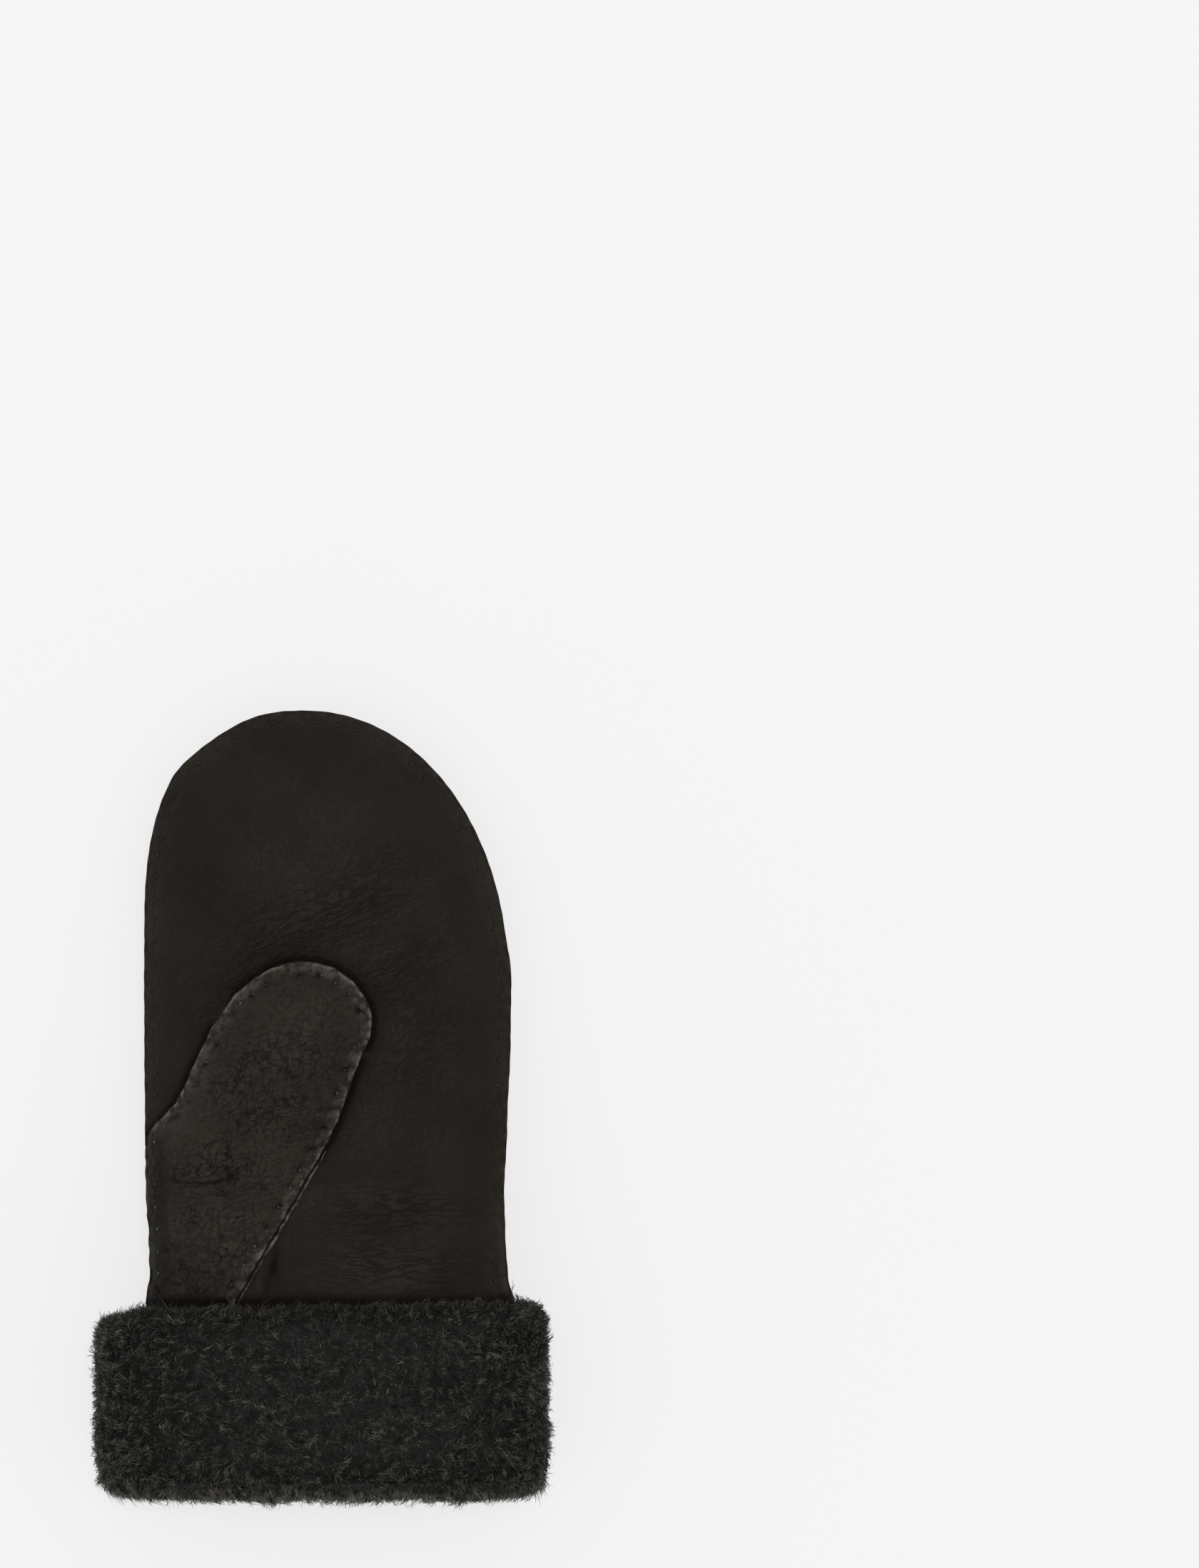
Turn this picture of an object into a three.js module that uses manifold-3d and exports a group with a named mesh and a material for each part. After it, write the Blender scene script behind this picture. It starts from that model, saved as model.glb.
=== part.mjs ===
// A left-hand sheepskin mitten, lying on its back with the palm up and its wool cuff turned out.
// Millimetres. +Y runs to the finger tip, +X away from the thumb and +Z up from the surface.
// While it is built, X is 0 on the middle of the hand and Y is 0 at the top edge of the cuff.
import * as THREE from 'three';
import { mergeVertices } from 'three/addons/utils/BufferGeometryUtils.js';
import Module from 'manifold-3d';

const wasm = await Module();
wasm.setup();

// The hand
const HAND_WIDTH = 120; // widest, over both stitched margins
const HAND_LENGTH = 192.4; // from the top edge of the cuff to the finger tip
const HAND_THICKNESS = 37; // at the palm
const SEAM_HEIGHT = 15.5; // of the outseam over the surface, at the finger tip
const FINGER_ROUND = 73; // length of the round end on the thumb's side
const FINGER_ROUND_FAR = 90; // and on the other side, where it tapers sooner
const APEX_OFFSET = -7.5; // the tip is this far from the middle, toward the thumb
const LEATHER = 1.8; // wall of the hide without its wool
const MARGIN = 4; // width of the flat stitched margin

// The thumb
const THUMB_LENGTH = 64.5; // from the crotch to the tip, along the thumb
const THUMB_WIDTH = 51; // over both stitched margins
const THUMB_TIP_RADIUS = 22.5;
const THUMB_LEAN = 21; // degrees from the hand's length, toward the fingers' middle
const THUMB_THICKNESS = 17.5; // of its round top over the palm
const THUMB_STANDOFF = 8.4; // of its margins over the palm
const CROTCH = 52; // height of the crotch over the cuff
const THUMB_ROOT = -28.2; // X of the middle of the thumb at the crotch
const SEAM_FOOT = -29; // X where the thumb's seam goes under the cuff

// The cuff
const CUFF_WIDTH = 149.5; // over the wool, from side to side
const CUFF_HEIGHT = 68; // from its top edge to the roll at the mouth
const CUFF_OFFSET = -1.75; // of its middle from the hand's middle
const CUFF_SLANT = 1.8; // its top edge climbs this much from the middle to the far side
const ARM_THICKNESS = 36; // of the leather tube inside the cuff
const UNDER_WOOL = 9; // wool between the cuff's hide and the surface, pressed flat
const OVER_WOOL = 11.5; // wool over the cuff's hide
const ROLL = 10; // height of the roll of wool below the folded hide
const LINING_WOOL = 6.5; // wool inside the mouth
const LINING_REACH = 50; // how far up the mouth the lining shows
const LOCK_HEIGHT = 2.6; // of the tips of the locks over the wool
const LOCK_SPACING = 11.5;

const GAP = 0.3; // between pieces that touch
const SEED = 7;

// Worked out from those sizes
const HALF_HAND = HAND_WIDTH / 2;
const FOLD_Y = ROLL - CUFF_HEIGHT;
const SPINE_TOP = HAND_LENGTH - FINGER_ROUND;
const ARM_FLOOR = UNDER_WOOL + LEATHER + 4 * GAP;
const ARM_TOP = ARM_FLOOR + ARM_THICKNESS;
const LEAN = THREE.MathUtils.degToRad(THUMB_LEAN);
const ALONG = new THREE.Vector2(Math.sin(LEAN), Math.cos(LEAN));
const ASIDE = new THREE.Vector2(Math.cos(LEAN), -Math.sin(LEAN));

// The hand's two long edges below the round end. up: share of the way from the fold to the round
// end. near and far: shares of half the width, on the thumb's side and on the other.
const HAND_EDGES = [
  { up: 0, near: 0.968, far: 1.005 },
  { up: 0.3, near: 0.968, far: 1.009 },
  { up: 0.36, near: 0.968, far: 0.989 },
  { up: 0.44, near: 0.975, far: 0.975 },
  { up: 0.52, near: 0.994, far: 0.968 },
  { up: 0.64, near: 0.996, far: 0.984 },
  { up: 0.8, near: 0.999, far: 0.999 },
  { up: 0.92, near: 1, far: 1 },
  { up: 1, near: 1, far: 1 },
];

// Soft folds of the palm. x: share of half the width. y: share of the hand's length. turn: degrees
// from X. run and wide: half length and half width as shares of the hand's width. rise: mm, down
// if under zero.
const PALM_FOLDS = [
  { x: -0.1, y: 0.66, turn: 28, run: 0.3, wide: 0.05, rise: 0.9 },
  { x: 0.02, y: 0.6, turn: 28, run: 0.33, wide: 0.05, rise: -0.9 },
  { x: 0.3, y: 0.58, turn: 31, run: 0.22, wide: 0.045, rise: 0.8 },
  { x: 0.42, y: 0.51, turn: 24, run: 0.2, wide: 0.05, rise: -0.8 },
  { x: 0.3, y: 0.2, turn: 4, run: 0.24, wide: 0.03, rise: 0.7 },
  { x: 0.34, y: 0.15, turn: -3, run: 0.22, wide: 0.03, rise: -0.8 },
  { x: -0.29, y: 0.04, turn: 99, run: 0.1, wide: 0.02, rise: -1.1 },
  { x: 0.6, y: 0.05, turn: 80, run: 0.12, wide: 0.05, rise: 0.9 },
];

// The thumb's front from the folded hide to the round tip. near and far: the two edges along and
// aside of the thumb, as shares of its length and width, or null on the hand's outseam and on the
// seam down the palm. up: share of the crotch's height, or under the cuff of the fold's depth, for
// those edges. stand: share of the standoff. crown: share of the thickness.
const THUMB_ROWS = [
  { up: -1, near: null, far: null, stand: 0, crown: 0 },
  { up: -0.5, near: null, far: null, stand: 0, crown: 0 },
  { up: 0, near: null, far: null, stand: 0, crown: 0.02 },
  { up: 0.27, near: null, far: null, stand: 0, crown: 0.1 },
  { up: 0.52, near: null, far: null, stand: 0, crown: 0.24 },
  { up: 0.76, near: null, far: null, stand: 0, crown: 0.42 },
  { up: 0.96, near: null, far: [0.164, 0.553], stand: 0, crown: 0.62 },
  { up: 1.1, near: [-0.031, -0.48], far: [0.27, 0.567], stand: 0.4, crown: 0.8 },
  { up: 1.2, near: [0.078, -0.433], far: [0.4, 0.57], stand: 0.72, crown: 0.92 },
  { up: 1.4, near: [0.264, -0.433], far: [0.52, 0.567], stand: 0.94, crown: 1 },
  { up: 1.6, near: [0.465, -0.398], far: [0.6, 0.562], stand: 1, crown: 1 },
];
const FIRST_LOOSE_ROW = 6; // the lowest of those rows that the thumb's back reaches

// The wool's section, once round: from its top edge down the outside, over the roll and up inside
// the mouth. from and to name two of the cuff's loops and share is the way between them. y: share
// of the cuff's height below its top edge. slant: how much of the slant of the top edge it takes.
const WOOL_SECTION = [
  { from: 'skin', to: 'wool', share: 0, y: 0.012, slant: 1 },
  { from: 'skin', to: 'wool', share: 0.42, y: -0.022, slant: 1 },
  { from: 'skin', to: 'wool', share: 0.82, y: 0.012, slant: 1 },
  { from: 'skin', to: 'wool', share: 0.98, y: 0.09, slant: 0.9 },
  { from: 'skin', to: 'wool', share: 1, y: 0.28, slant: 0.6 },
  { from: 'skin', to: 'wool', share: 1.01, y: 0.5, slant: 0.3 },
  { from: 'skin', to: 'wool', share: 1, y: 0.72, slant: 0.1 },
  { from: 'skin', to: 'wool', share: 0.9, y: 0.86, slant: 0 },
  { from: 'skin', to: 'wool', share: 0.9, y: 0.94, slant: 0 },
  { from: 'skin', to: 'wool', share: 0.5, y: 0.99, slant: 0 },
  { from: 'cavity', to: 'skin', share: 0.5, y: 1, slant: 0 },
  { from: 'cavity', to: 'mouth', share: 0.6, y: 0.975, slant: 0 },
  { from: 'cavity', to: 'mouth', share: 1, y: 0.9, slant: 0 },
];

// Seeded numbers from 0 to 1, so that the wool is the same each time.
function makeRandom(seed) {
  let state = seed;
  return () => {
    state = (state + 0x6d2b79f5) | 0;
    let mixed = Math.imul(state ^ (state >>> 15), 1 | state);
    mixed = (mixed + Math.imul(mixed ^ (mixed >>> 7), 61 | mixed)) ^ mixed;
    return ((mixed ^ (mixed >>> 14)) >>> 0) / 4294967296;
  };
}

// Reads a table between its rows: smooth, by the column named at.
function readTable(table, at, value, column) {
  const last = table.length - 1;
  if (value <= table[0][at]) {
    return table[0][column];
  }
  for (let row = 1; row <= last; row += 1) {
    const [low, high] = [table[row - 1], table[row]];
    if (value <= high[at]) {
      const share = THREE.MathUtils.smoothstep(value, low[at], high[at]);
      return THREE.MathUtils.lerp(low[column], high[column], share);
    }
  }
  return table[last][column];
}

// X of the hand's edge at height y, on the thumb's side (-1) or on the other (1).
function handEdge(y, side) {
  const round = side < 0 ? FINGER_ROUND : FINGER_ROUND_FAR;
  const power = side < 0 ? 2.6 : 2.08;
  const up = (y - FOLD_Y) / (SPINE_TOP - FOLD_Y);
  const straight = side * HALF_HAND * readTable(HAND_EDGES, 'up', up, side < 0 ? 'near' : 'far');
  const past = Math.min(1, Math.max(0, (y - HAND_LENGTH + round) / round));
  const share = (1 - past ** power) ** (1 / power);
  return THREE.MathUtils.lerp(APEX_OFFSET, straight, share);
}

// Height of the outseam over the surface: it climbs to the middle of the cuff.
function seamHeight(y) {
  const share = THREE.MathUtils.smoothstep(y, -CUFF_HEIGHT / 4, SPINE_TOP);
  return THREE.MathUtils.lerp(ARM_FLOOR + ARM_THICKNESS * 0.48, SEAM_HEIGHT, share);
}

// Height of the lowest leather over the surface: flat under the fingers, lifted by the cuff.
function floorHeight(y) {
  return ARM_FLOOR * THREE.MathUtils.smoothstep(-y, -HAND_LENGTH * 0.42, -HAND_LENGTH * 0.02);
}

// Height of the palm on its middle line.
function crownHeight(y) {
  const share = THREE.MathUtils.smoothstep(y, 0, HAND_LENGTH * 0.34);
  return THREE.MathUtils.lerp(ARM_TOP, HAND_THICKNESS, share);
}

// The round rise of a panel from its margin (0) to its middle line (1). full: how squarely it
// fills out, from 0 along the fingers to 1 where the cuff holds the hide round.
function pillow(share, full = 0) {
  const shoulder = THREE.MathUtils.lerp(2.5, 3.4, full);
  return (1 - (1 - share) ** shoulder) ** THREE.MathUtils.lerp(0.55, 0.46, full);
}

// How full the hand is at height y.
function fullness(y) {
  return 1 - THREE.MathUtils.smoothstep(y, -CUFF_HEIGHT / 4, CROTCH);
}

// Height that the soft folds add to the palm at x and y.
function foldRelief(x, y) {
  let height = 0;
  for (const fold of PALM_FOLDS) {
    const turn = THREE.MathUtils.degToRad(fold.turn);
    const [dx, dy] = [x - fold.x * HALF_HAND, y - fold.y * HAND_LENGTH];
    const run = (dx * Math.cos(turn) + dy * Math.sin(turn)) / (fold.run * HAND_WIDTH);
    const wide = (dy * Math.cos(turn) - dx * Math.sin(turn)) / (fold.wide * HAND_WIDTH);
    height += fold.rise * Math.exp(-(run ** 2) - wide ** 2);
  }
  return height;
}

// Top of the palm's leather at x and y, below the round finger end.
function palmHeight(x, y) {
  const middle = (handEdge(y, -1) + handEdge(y, 1)) / 2;
  const reach = Math.abs(handEdge(y, x < middle ? -1 : 1) - middle) - MARGIN;
  const share = 1 - Math.min(1, Math.abs(x - middle) / reach);
  const rim = seamHeight(y) + GAP / 2 + LEATHER;
  const fade = THREE.MathUtils.smoothstep(share, 0, 0.3);
  const rise = (crownHeight(y) - rim) * pillow(share, fullness(y));
  return rim + rise + foldRelief(x, y) * fade;
}

// Where along and aside of the thumb's own axis lie in X and Y.
function thumbPoint(along, aside) {
  const point = new THREE.Vector2(THUMB_ROOT, CROTCH);
  return point.addScaledVector(ALONG, along).addScaledVector(ASIDE, aside);
}

// A surface through a grid of points, its faces turned up or down. Doubled points become one.
function gridSurface(grid, faceUp) {
  const wide = grid[0].length;
  const index = [];
  for (let i = 0; i + 1 < grid.length; i += 1) {
    for (let j = 0; j + 1 < wide; j += 1) {
      const [a, b] = [i * wide + j, i * wide + j + 1];
      const [c, d] = [a + wide, b + wide];
      index.push(...(faceUp ? [a, b, d, a, d, c] : [a, d, b, a, c, d]));
    }
  }
  let surface = new THREE.BufferGeometry().setFromPoints(grid.flat());
  surface.setIndex(index);
  surface = mergeVertices(surface, 0.01);
  const ids = Array.from(surface.index.array);
  const kept = [];
  for (let t = 0; t < ids.length; t += 3) {
    const [a, b, c] = ids.slice(t, t + 3);
    if (a !== b && b !== c && c !== a) {
      kept.push(a, b, c);
    }
  }
  surface.setIndex(kept);
  surface.computeVertexNormals();
  return surface;
}

// Makes an open surface into a closed sheet: wall thick to the inside, and raised outward.
function thicken(surface, wall, raised = 0) {
  const { position, normal } = surface.attributes;
  const points = [];
  for (const offset of [raised, -wall]) {
    for (let k = 0; k < position.count; k += 1) {
      const point = new THREE.Vector3().fromBufferAttribute(position, k);
      points.push(point.addScaledVector(new THREE.Vector3().fromBufferAttribute(normal, k), offset));
    }
  }
  const outer = Array.from(surface.index.array);
  const index = [...outer];
  const open = new Map();
  for (let t = 0; t < outer.length; t += 3) {
    const face = outer.slice(t, t + 3);
    index.push(...face.map((id) => id + position.count).reverse());
    for (let k = 0; k < 3; k += 1) {
      const [a, b] = [face[k], face[(k + 1) % 3]];
      if (!open.delete(`${b} ${a}`)) {
        open.set(`${a} ${b}`, [a, b]);
      }
    }
  }
  for (const [a, b] of open.values()) {
    index.push(b, a, a + position.count, b, a + position.count, b + position.count);
  }
  const sheet = new THREE.BufferGeometry().setFromPoints(points);
  sheet.setIndex(index);
  return sheet;
}

// A closed ring through loops of points: each loop goes once round, and the last joins the first.
function ringSolid(loops) {
  const wide = loops[0].length;
  const index = [];
  loops.forEach((_, i) => {
    const next = ((i + 1) % loops.length) * wide;
    for (let j = 0; j < wide; j += 1) {
      const after = (j + 1) % wide;
      const [a, b, c, d] = [i * wide + j, i * wide + after, next + j, next + after];
      index.push(a, b, d, a, d, c);
    }
  });
  const ring = new THREE.BufferGeometry().setFromPoints(loops.flat());
  ring.setIndex(index);
  return ring;
}

function toSolid(geometry) {
  const bare = new THREE.BufferGeometry();
  bare.setAttribute('position', geometry.getAttribute('position').clone());
  bare.setIndex(geometry.index);
  const merged = mergeVertices(bare, 0.0001);
  return new wasm.Manifold(
    new wasm.Mesh({
      numProp: 3,
      vertProperties: new Float32Array(merged.attributes.position.array),
      triVerts: new Uint32Array(merged.index.array),
    }),
  );
}

// The largest body of a solid, so that no crumb of a cut stays behind.
function toGeometry(solid) {
  const bodies = solid.decompose();
  bodies.sort((a, b) => b.volume() - a.volume());
  const { vertProperties, triVerts } = bodies[0].getMesh();
  const geometry = new THREE.BufferGeometry();
  geometry.setAttribute('position', new THREE.BufferAttribute(vertProperties, 3));
  geometry.setIndex(new THREE.BufferAttribute(triVerts, 1));
  return geometry;
}

// The places round a panel's edge, up one side, round the end and down the other, each with the
// point of the middle line that it faces. Rows hold the near and far edge and that point.
function stationsAround(rows, roundEnd) {
  const near = rows.map(({ near: edge, spine }) => ({ edge, spine }));
  const far = rows.map(({ far: edge, spine }) => ({ edge, spine }));
  return [...near, ...roundEnd, ...far.reverse()];
}

// A panel's surface: a flat margin along its edge, and from there a round rise to the middle line.
// grown widens the margin outward.
function panelGrid(stations, rings, reshape, grown = 0) {
  return stations.map(({ edge, spine }) => {
    const inward = spine.clone().sub(edge).setZ(0).normalize();
    const bend = edge.clone().addScaledVector(inward, MARGIN);
    const column = [edge.clone().addScaledVector(inward, -grown), bend];
    for (let ring = 1; ring <= rings; ring += 1) {
      const share = (ring / rings) ** 1.5;
      const point = bend.clone().lerp(spine, share);
      point.z = THREE.MathUtils.lerp(bend.z, spine.z, pillow(share, fullness(point.y)));
      point.z = reshape(point, share);
      column.push(point);
    }
    return column;
  });
}

// The palm's or the back's places, with the margin at one height and the middle line at another.
function handStations(sideRows, endSteps, marginHeight, middleHeight) {
  const rows = [];
  for (let row = 0; row < sideRows; row += 1) {
    const y = THREE.MathUtils.lerp(FOLD_Y + GAP, SPINE_TOP, row / sideRows);
    const [near, far] = [handEdge(y, -1), handEdge(y, 1)];
    rows.push({
      near: new THREE.Vector3(near, y, marginHeight(y)),
      far: new THREE.Vector3(far, y, marginHeight(y)),
      spine: new THREE.Vector3((near + far) / 2, y, middleHeight(y)),
    });
  }
  const middle = (handEdge(SPINE_TOP, -1) + handEdge(SPINE_TOP, 1)) / 2;
  const spine = new THREE.Vector3(middle, SPINE_TOP, middleHeight(SPINE_TOP));
  const roundEnd = [];
  for (let step = 0; step <= endSteps; step += 1) {
    const turn = (Math.PI * step) / endSteps;
    const y = THREE.MathUtils.lerp(SPINE_TOP, HAND_LENGTH, Math.sin(turn) ** 0.85);
    const x = handEdge(y, turn < Math.PI / 2 ? -1 : 1);
    roundEnd.push({ edge: new THREE.Vector3(x, y, marginHeight(y)), spine });
  }
  return stationsAround(rows, roundEnd);
}

// The thumb's places: its front from the fold, or its back from the crotch, with the heights of
// its margin and middle line over the palm.
function thumbStations(firstRow, endSteps, marginHeight, middleHeight) {
  const seamTop = thumbPoint(
    THUMB_ROWS[FIRST_LOOSE_ROW].far[0] * THUMB_LENGTH,
    THUMB_ROWS[FIRST_LOOSE_ROW].far[1] * THUMB_WIDTH,
  );
  const rows = THUMB_ROWS.slice(firstRow).map(({ up, near, far, stand, crown }) => {
    const y = up < 0 ? Math.max(-up * FOLD_Y, FOLD_Y + GAP) : up * CROTCH;
    const ends = [near, far].map((edge) => edge && [edge[0] * THUMB_LENGTH, edge[1] * THUMB_WIDTH]);
    const nearXY = ends[0] ? thumbPoint(...ends[0]) : new THREE.Vector2(handEdge(y, -1), y);
    const down = Math.max(0, y) / seamTop.y;
    const seamXY = new THREE.Vector2(THREE.MathUtils.lerp(SEAM_FOOT, seamTop.x, down), y);
    const farXY = ends[1] ? thumbPoint(...ends[1]) : seamXY;
    const middle = nearXY.clone().lerp(farXY, 0.5);
    return {
      near: new THREE.Vector3(nearXY.x, nearXY.y, marginHeight(nearXY, near ? stand : null)),
      far: new THREE.Vector3(farXY.x, farXY.y, marginHeight(farXY, stand)),
      spine: new THREE.Vector3(middle.x, middle.y, middleHeight(middle, stand, crown)),
    };
  });
  const centre = thumbPoint(THUMB_LENGTH - THUMB_TIP_RADIUS, THUMB_WIDTH * 0.118);
  const spine = new THREE.Vector3(centre.x, centre.y, middleHeight(centre, 1, 1));
  const roundEnd = [];
  for (let step = 0; step <= endSteps; step += 1) {
    const turn = LEAN * -1 + Math.PI - (Math.PI * step) / endSteps;
    const edge = new THREE.Vector2(Math.cos(turn), Math.sin(turn));
    edge.multiplyScalar(THUMB_TIP_RADIUS).add(centre);
    roundEnd.push({ edge: new THREE.Vector3(edge.x, edge.y, marginHeight(edge, 1)), spine });
  }
  return stationsAround(rows, roundEnd);
}

// One of the closed curves round the cuff, a squared oval. The wool's underside is flat on the
// surface.
const handMiddle = (handEdge(FOLD_Y, -1) + handEdge(FOLD_Y, 1)) / 2;
const handHalf = (handEdge(0, 1) - handEdge(0, -1)) / 2;
const SKIN_TOP = ARM_TOP + LEATHER + 3 * GAP;
const LOOPS = {
  wool: {
    middle: CUFF_OFFSET,
    half: CUFF_WIDTH / 2 - LOCK_HEIGHT,
    low: -UNDER_WOOL * 0.2,
    high: SKIN_TOP + LEATHER + OVER_WOOL,
    power: 2.8,
  },
  skin: {
    middle: handMiddle,
    half: handHalf + LEATHER + 4 * GAP,
    low: UNDER_WOOL,
    high: SKIN_TOP + LEATHER,
    power: 3.1,
  },
  skinInside: {
    middle: handMiddle,
    half: handHalf + 3 * GAP,
    low: UNDER_WOOL + LEATHER,
    high: SKIN_TOP,
    power: 3.1,
  },
  cavity: {
    middle: handMiddle,
    half: handHalf - MARGIN - 2.5 * LEATHER,
    low: ARM_FLOOR + LEATHER + 4 * GAP,
    high: ARM_TOP - LEATHER - 4 * GAP,
    power: 2,
  },
  mouth: {
    middle: handMiddle,
    half: handHalf - MARGIN - 2 * LEATHER - LINING_WOOL,
    low: ARM_FLOOR + LEATHER + LINING_WOOL,
    high: ARM_TOP - LEATHER - LINING_WOOL,
    power: 2.2,
  },
};
const LOOP_STEPS = 44;
const CLEAR_SHARE = 0.03; // of the way from the cuff's hide to its wool, left clear between them

// The point of a loop at a turn in radians, at height y of the cuff.
function loopPoint({ middle, half, low, high, power }, turn, y) {
  const [c, s] = [Math.cos(turn), Math.sin(turn)];
  const x = middle + half * Math.sign(c) * Math.abs(c) ** (2 / power);
  const z = (low + high) / 2 + ((high - low) / 2) * Math.sign(s) * Math.abs(s) ** (2 / power);
  return new THREE.Vector3(x, y, Math.max(0, z));
}

// The height that the slanting top edge of the cuff adds at x.
function slantAt(x) {
  return (CUFF_SLANT * (x - CUFF_OFFSET)) / (CUFF_WIDTH / 2);
}

// One turn of points between two of the loops.
function cuffLoop({ from, to, share, y, slant }) {
  return Array.from({ length: LOOP_STEPS }, (_, step) => {
    const turn = (2 * Math.PI * step) / LOOP_STEPS;
    const point = loopPoint(LOOPS[from], turn, -y * CUFF_HEIGHT);
    point.lerp(loopPoint(LOOPS[to], turn, -y * CUFF_HEIGHT), share);
    point.y += slant * slantAt(point.x);
    return point;
  });
}

// The palm: its panel with a cut-out over the thumb's root, and the back of the thumb, which is a
// tongue of the same hide turned back at the crotch.
function palmSurface() {
  const margin = (y) => seamHeight(y) + GAP / 2 + LEATHER;
  const stations = handStations(17, 18, margin, crownHeight);
  const reshape = ({ x, y, z }, share) => {
    const fade = THREE.MathUtils.smoothstep(share, 0, 0.3);
    return z + foldRelief(x, y) * fade;
  };
  return gridSurface(panelGrid(stations, 9, reshape), true);
}

// Top of the thumb's margin: on the outseam, on the palm, or standing off it.
function thumbMargin({ x, y }, stand) {
  if (stand === null) {
    return seamHeight(y) + GAP / 2 + LEATHER;
  }
  return palmHeight(x, y) + GAP + LEATHER + stand * THUMB_STANDOFF;
}

function thumbFrontSurface(grown = 0) {
  const middle = ({ x, y }, stand, crown) => {
    const onPalm = palmHeight(x, y) + GAP + LEATHER;
    return onPalm + crown * THUMB_THICKNESS;
  };
  const stations = thumbStations(0, 12, thumbMargin, middle);
  return gridSurface(panelGrid(stations, 8, ({ z }) => z, grown), true);
}

// The thumb's back hangs below the margin of its front and lies just clear of the palm.
function thumbBackSurface() {
  const bite = LEATHER / 2;
  const clear = ({ x, y }, stand) => palmHeight(x, y) + (stand > 0 ? 3 * GAP : -bite);
  const margin = (place, stand) => {
    const under = thumbMargin(place, stand) - 2 * LEATHER - GAP;
    return stand ? Math.max(under, clear(place, stand)) : palmHeight(place.x, place.y) - bite;
  };
  const stations = thumbStations(FIRST_LOOSE_ROW, 12, margin, clear);
  const reshape = ({ x, y, z }) => Math.max(z, palmHeight(x, y) - bite);
  return gridSurface(panelGrid(stations, 5, reshape), false);
}

// The upright block that clears the palm over the thumb's root, up to the crotch.
function rootCutter() {
  const top = THUMB_ROWS[FIRST_LOOSE_ROW];
  const far = thumbPoint(top.far[0] * THUMB_LENGTH, top.far[1] * THUMB_WIDTH);
  const outside = -HAND_WIDTH;
  const below = FOLD_Y - CUFF_HEIGHT;
  const inset = MARGIN + LEATHER;
  const outline = new THREE.Shape();
  outline.moveTo(outside, top.up * CROTCH);
  outline.lineTo(far.x - inset, top.up * CROTCH);
  outline.lineTo(SEAM_FOOT - inset, 0);
  outline.lineTo(SEAM_FOOT - inset, below);
  outline.lineTo(outside, below);
  const block = new THREE.ExtrudeGeometry(outline, {
    depth: ARM_TOP + HAND_THICKNESS,
    bevelEnabled: false,
  });
  return mergeVertices(stripped(block), 0.0001);
}

// A geometry with its position and faces only.
function stripped(geometry) {
  const bare = new THREE.BufferGeometry();
  bare.setAttribute('position', geometry.getAttribute('position'));
  bare.setIndex(geometry.index);
  return bare;
}

function makePalm() {
  const palm = toSolid(thicken(palmSurface(), LEATHER));
  const tongue = toSolid(thicken(thumbBackSurface(), LEATHER));
  const clearance = toSolid(thicken(thumbFrontSurface(2 * GAP), LEATHER + 2 * GAP, 2 * GAP));
  const whole = palm.subtract(toSolid(rootCutter())).add(tongue);
  return toGeometry(whole.subtract(clearance));
}

function makeBack() {
  const margin = (y) => seamHeight(y) - GAP / 2 - LEATHER;
  const press = (y) => 1.1 - 0.1 * fullness(y);
  const middle = (y) => THREE.MathUtils.lerp(margin(y), floorHeight(y), press(y));
  const stations = handStations(13, 18, margin, middle);
  const reshape = ({ y, z }) => Math.max(z, floorHeight(y));
  return thicken(gridSurface(panelGrid(stations, 8, reshape), false), LEATHER);
}

function makeCuffSkin() {
  const end = (CUFF_HEIGHT - ROLL - GAP) / CUFF_HEIGHT;
  const loops = [
    { from: 'skinInside', to: 'skinInside', share: 0, y: -GAP / CUFF_HEIGHT, slant: 1 },
    { from: 'skin', to: 'skin', share: 0, y: -GAP / CUFF_HEIGHT, slant: 1 },
    { from: 'skin', to: 'skin', share: 0, y: end, slant: 0 },
    { from: 'skinInside', to: 'skinInside', share: 0, y: end, slant: 0 },
  ];
  return ringSolid(loops.map(cuffLoop));
}

// The wool's backing ring: the listed section, then the slot that the folded leather stands in.
function woolBacking() {
  const slot = (CUFF_HEIGHT - ROLL) / CUFF_HEIGHT;
  const lining = 1 - LINING_REACH / CUFF_HEIGHT;
  const rest = [
    { from: 'cavity', to: 'mouth', share: 1, y: lining + 0.03, slant: 0 },
    { from: 'cavity', to: 'mouth', share: 0, y: lining, slant: 0 },
    { from: 'cavity', to: 'mouth', share: 0, y: slot, slant: 0 },
    { from: 'skin', to: 'wool', share: CLEAR_SHARE, y: slot, slant: 0 },
  ];
  const section = WOOL_SECTION.map((row) => {
    return row.from === 'skin' ? { ...row, share: Math.max(row.share, CLEAR_SHARE) } : row;
  });
  return ringSolid([...section, ...rest].map(cuffLoop));
}

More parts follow.
